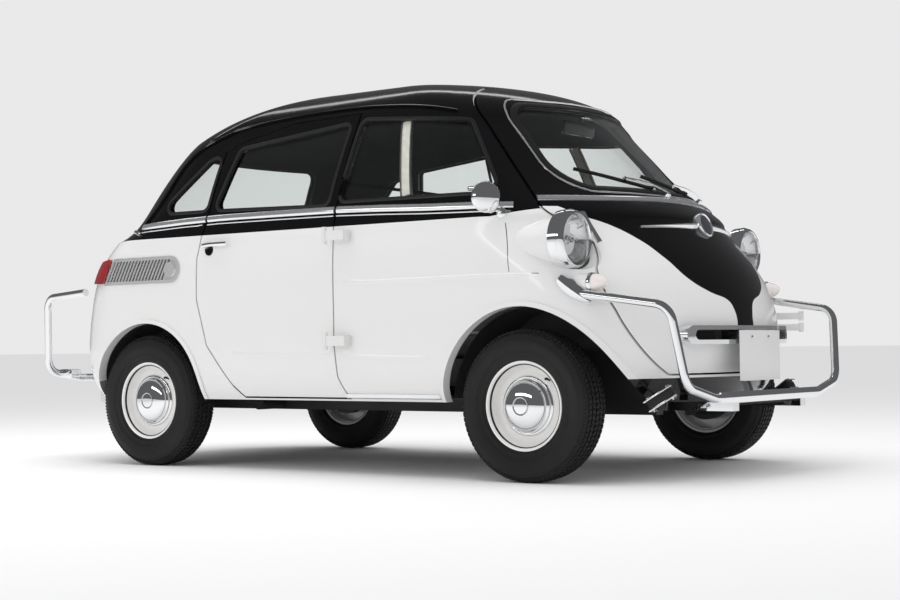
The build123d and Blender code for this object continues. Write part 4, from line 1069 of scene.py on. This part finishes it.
DIAL_AT, KNOB_AT, DIAL_AXIS = (0.985, 0.2, 0.846), (0.985, 0.05, 0.846), (-0.9, 0, 0.35)
DIAL = mm((0, 0), (0, 48), (20, 48), (26, 44), (22, 40), (18, 38), (18, 0))
DIAL_FACE = mm((18.2, 0), (18.2, 38), (19.5, 38), (19.5, 0))
dial = lathe(Shape(), DIAL_AT, DIAL_AXIS, DIAL, 40)
lathe(dial, KNOB_AT, DIAL_AXIS, mm((0, 0), (0, 14), (20, 13), (22, 0)), 20)
dial.piece("dials", brushed_chrome, "front_door")
face = lathe(Shape(), DIAL_AT, DIAL_AXIS, DIAL_FACE, 40)
face.piece("dial_face", black_paint, "front_door", "black_paint")
COLUMN_TOP, COLUMN_FOOT = Vector((0.76, 0.27, 0.77)), Vector((1.13, 0.27, 0.47))
HORN_PUSH = mm((0, 0), (0, 34), (6, 33), (12, 22), (14, 0))
column = (COLUMN_TOP - COLUMN_FOOT).normalized()
horn_push = lathe(Shape(), COLUMN_TOP + column * 0.008, column, HORN_PUSH, 32)
horn_push.piece("horn_push", black_paint, "steering_wheel", "wheel_plastic")
pedals = Shape()
for y in (0.16, 0.25, 0.335):
    block(pedals, (0.985, y, 0.345), (0.01, 0.05, 0.062), Matrix.Rotation(math.radians(-35), 3, "Y"), 0.003)
    tube(pedals, [(0.99, y, 0.34), (1.02, y, 0.3), (1.03, y, 0.274)], 0.006)
pedals.piece("pedals", rubber, "body", "chassis_black")
levers = tube(Shape(), smooth_path(mm((610, 420, 274), (597, 420, 380), (575, 416, 470))), 0.006)
lathe(levers, (0.575, 0.416, 0.466), Z, mm((0, 0), (4, 12), (16, 17), (30, 12), (34, 0)), 24)
tube(levers, smooth_path(mm((560, -60, 274), (600, -60, 330), (680, -60, 380))), 0.009)
levers.piece("cabin_levers", black_paint, "body", "black_paint")
mats = block(Shape(), (0.73, 0, 0.273), (0.25, 0.7, 0.005))
for k in range(14):
    block(mats, (0.625 + 0.016 * k, 0, 0.2762), (0.006, 0.68, 0.002))
block(mats, (-0.065, 0, 0.273), (0.12, 1.06, 0.005))
mats.piece("floor_mats", mat_rubber, "body", "chassis_black")

# ---- tail details ----
VENT = mm((-7, -1), (7, -1), (5, 5.5), (-4, 1))
PIPE_LINE = mm((-1095, -185, 225), (-1180, -200, 215), (-1290, -205, 210), (-1345, -205, 206))
GRILLE_Z = 0.728
# Section of the dark sheets behind the side grilles, which are painted shade.
GRILLE_SHADE_SHEET = mm((-44, 0), (44, 0), (44, 2), (-44, 2))
places, normals = on_back([(0, 0.56)])
lid_handle = boss(Shape(), places[0], normals[0], mm((0, 0), (0, 14), (14, 12), (14, 0)))
block(lid_handle, places[0] + normals[0] * 0.014, (0.01, 0.09, 0.016), None, 0.004)
lid_handle.piece("lid_handle", chrome, "engine_lid")
places, normals = on_back([(0, 0.7)])
plate_lamp = block(Shape(), places[0] + normals[0] * 0.012, (0.034, 0.11, 0.034), None, 0.006)
plate_lamp.piece("plate_lamp", chrome, "engine_lid")
lid_vents = Shape()
for row in range(5):
    for side, label in SIDES:
        z = 0.752 - 0.022 * row
        sweep(lid_vents, *on_back([(side * (0.09 + 0.19 * k / 8), z) for k in range(9)]), VENT)
lid_vents.piece("lid_vents", white_paint, "engine_lid", "white_paint")
tube(Shape(), smooth_path(PIPE_LINE), 0.017, 16).piece("tail_pipe", brushed_chrome)
engine = Shape()
for k in range(9):
    block(engine, (-1.0, -0.22 + 0.016 * k, 0.47), (0.26, 0.004, 0.25))
lathe(engine, (-1.0, 0.12, 0.545), X, mm((-160, 0), (-160, 90), (0, 90), (0, 0)), 40)
engine.piece("engine_fins", cast_metal, "body", "cast_metal")
# Dark sheets set inside the skin behind the side grilles: painted shade for the dark seen through the
# grille openings.
grille_shade_sheets = Shape()
for side, label in SIDES:
    places, normals = on_side(side, [(-0.985 + 0.036 * k, 0.79) for k in range(10)])
    sunk = [Vector((p.x, p.y - side * 0.02, GRILLE_Z)) for p in places]
    sweep(grille_shade_sheets, sunk, [Y * side] * len(sunk), GRILLE_SHADE_SHEET)
grille_shade_sheets.piece("grille_shade_sheets", seam_and_shade_dark, "body", "black_paint")

# ---- studio ----
FLOOR_HALF = 150
SKY, SKY_IN_GLOSS, SKY_SEEN = (0.79, 0.79, 0.8, 1), (0.12, 0.12, 0.125, 1), (0.82, 0.82, 0.82, 1)
floor_mesh = bpy.data.meshes.new("studio_floor")
floor_corners = [(x * FLOOR_HALF, y * FLOOR_HALF, 0) for x, y in ((-1, -1), (1, -1), (1, 1), (-1, 1))]
floor_mesh.from_pydata(floor_corners, [], [(0, 1, 2, 3)])
floor_mesh.materials.append(finish("studio_floor", (0.9, 0.9, 0.9), rough=0.9, Specular_IOR_Level=0.0))
studio_floor = bpy.data.objects.new("studio_floor", floor_mesh)
collection.objects.link(studio_floor)


def softbox(name, place, aim, width, height, power, seen=True):
    """Rectangular light; one that isn't seen lights the object but leaves no mirror image in its gloss."""
    light = bpy.data.lights.new(name, "AREA")
    light.shape = "RECTANGLE"
    light.size, light.size_y = width, height
    light.energy = power
    made = bpy.data.objects.new(name, light)
    made.location = place
    made.rotation_euler = (Vector(aim) - Vector(place)).to_track_quat("-Z", "Y").to_euler()
    made.visible_glossy = seen
    collection.objects.link(made)


softbox("overhead", (-0.4, -0.6, 4.2), (-0.4, 0, 0.5), 4.6, 3.0, 80, seen=False)
softbox("roof_strip", (-1.6, 1.3, 3.6), (-0.6, 0, 1.0), 5.6, 0.35, 16)
softbox("front_strip", (5.2, 1.8, 1.9), (0.4, 0, 0.7), 1.0, 3.0, 12, seen=False)
softbox("side_strip", (-1.8, -5.6, 2.2), (-0.2, 0, 0.7), 4.6, 0.6, 34)

world = bpy.data.worlds.new("studio")
scene.world = world
world.use_nodes = True
tree = world.node_tree
path = tree.nodes.new("ShaderNodeLightPath")
by_gloss = mix_colours(tree, path.outputs["Is Glossy Ray"], SKY, SKY_IN_GLOSS)
by_camera = mix_colours(tree, path.outputs["Is Camera Ray"], by_gloss, SKY_SEEN)
tree.links.new(by_camera, tree.nodes["Background"].inputs["Color"])
tree.nodes["Background"].inputs["Strength"].default_value = 1.0

# ---- camera ----
CAMERA_AT = Vector((3.879, -5.134, 0.434))
YAW, PITCH, ROLL = math.radians(125.98), math.radians(1.538), math.radians(-0.645)
ahead = Vector((math.cos(PITCH) * math.cos(YAW), math.cos(PITCH) * math.sin(YAW), math.sin(PITCH)))
level = Vector((math.sin(YAW), -math.cos(YAW), 0))
upright = level.cross(ahead)
right_way = level * math.cos(ROLL) + upright * math.sin(ROLL)
up_way = upright * math.cos(ROLL) - level * math.sin(ROLL)
camera_data = bpy.data.cameras.new("main_camera")
camera_data.lens = 68.19
camera_data.sensor_width = 36
camera = bpy.data.objects.new("main_camera", camera_data)
turn = Matrix((right_way, up_way, -ahead)).transposed().to_4x4()
camera.matrix_world = Matrix.Translation(CAMERA_AT) @ turn
collection.objects.link(camera)
scene.camera = camera
scene.view_settings.view_transform = "Standard"
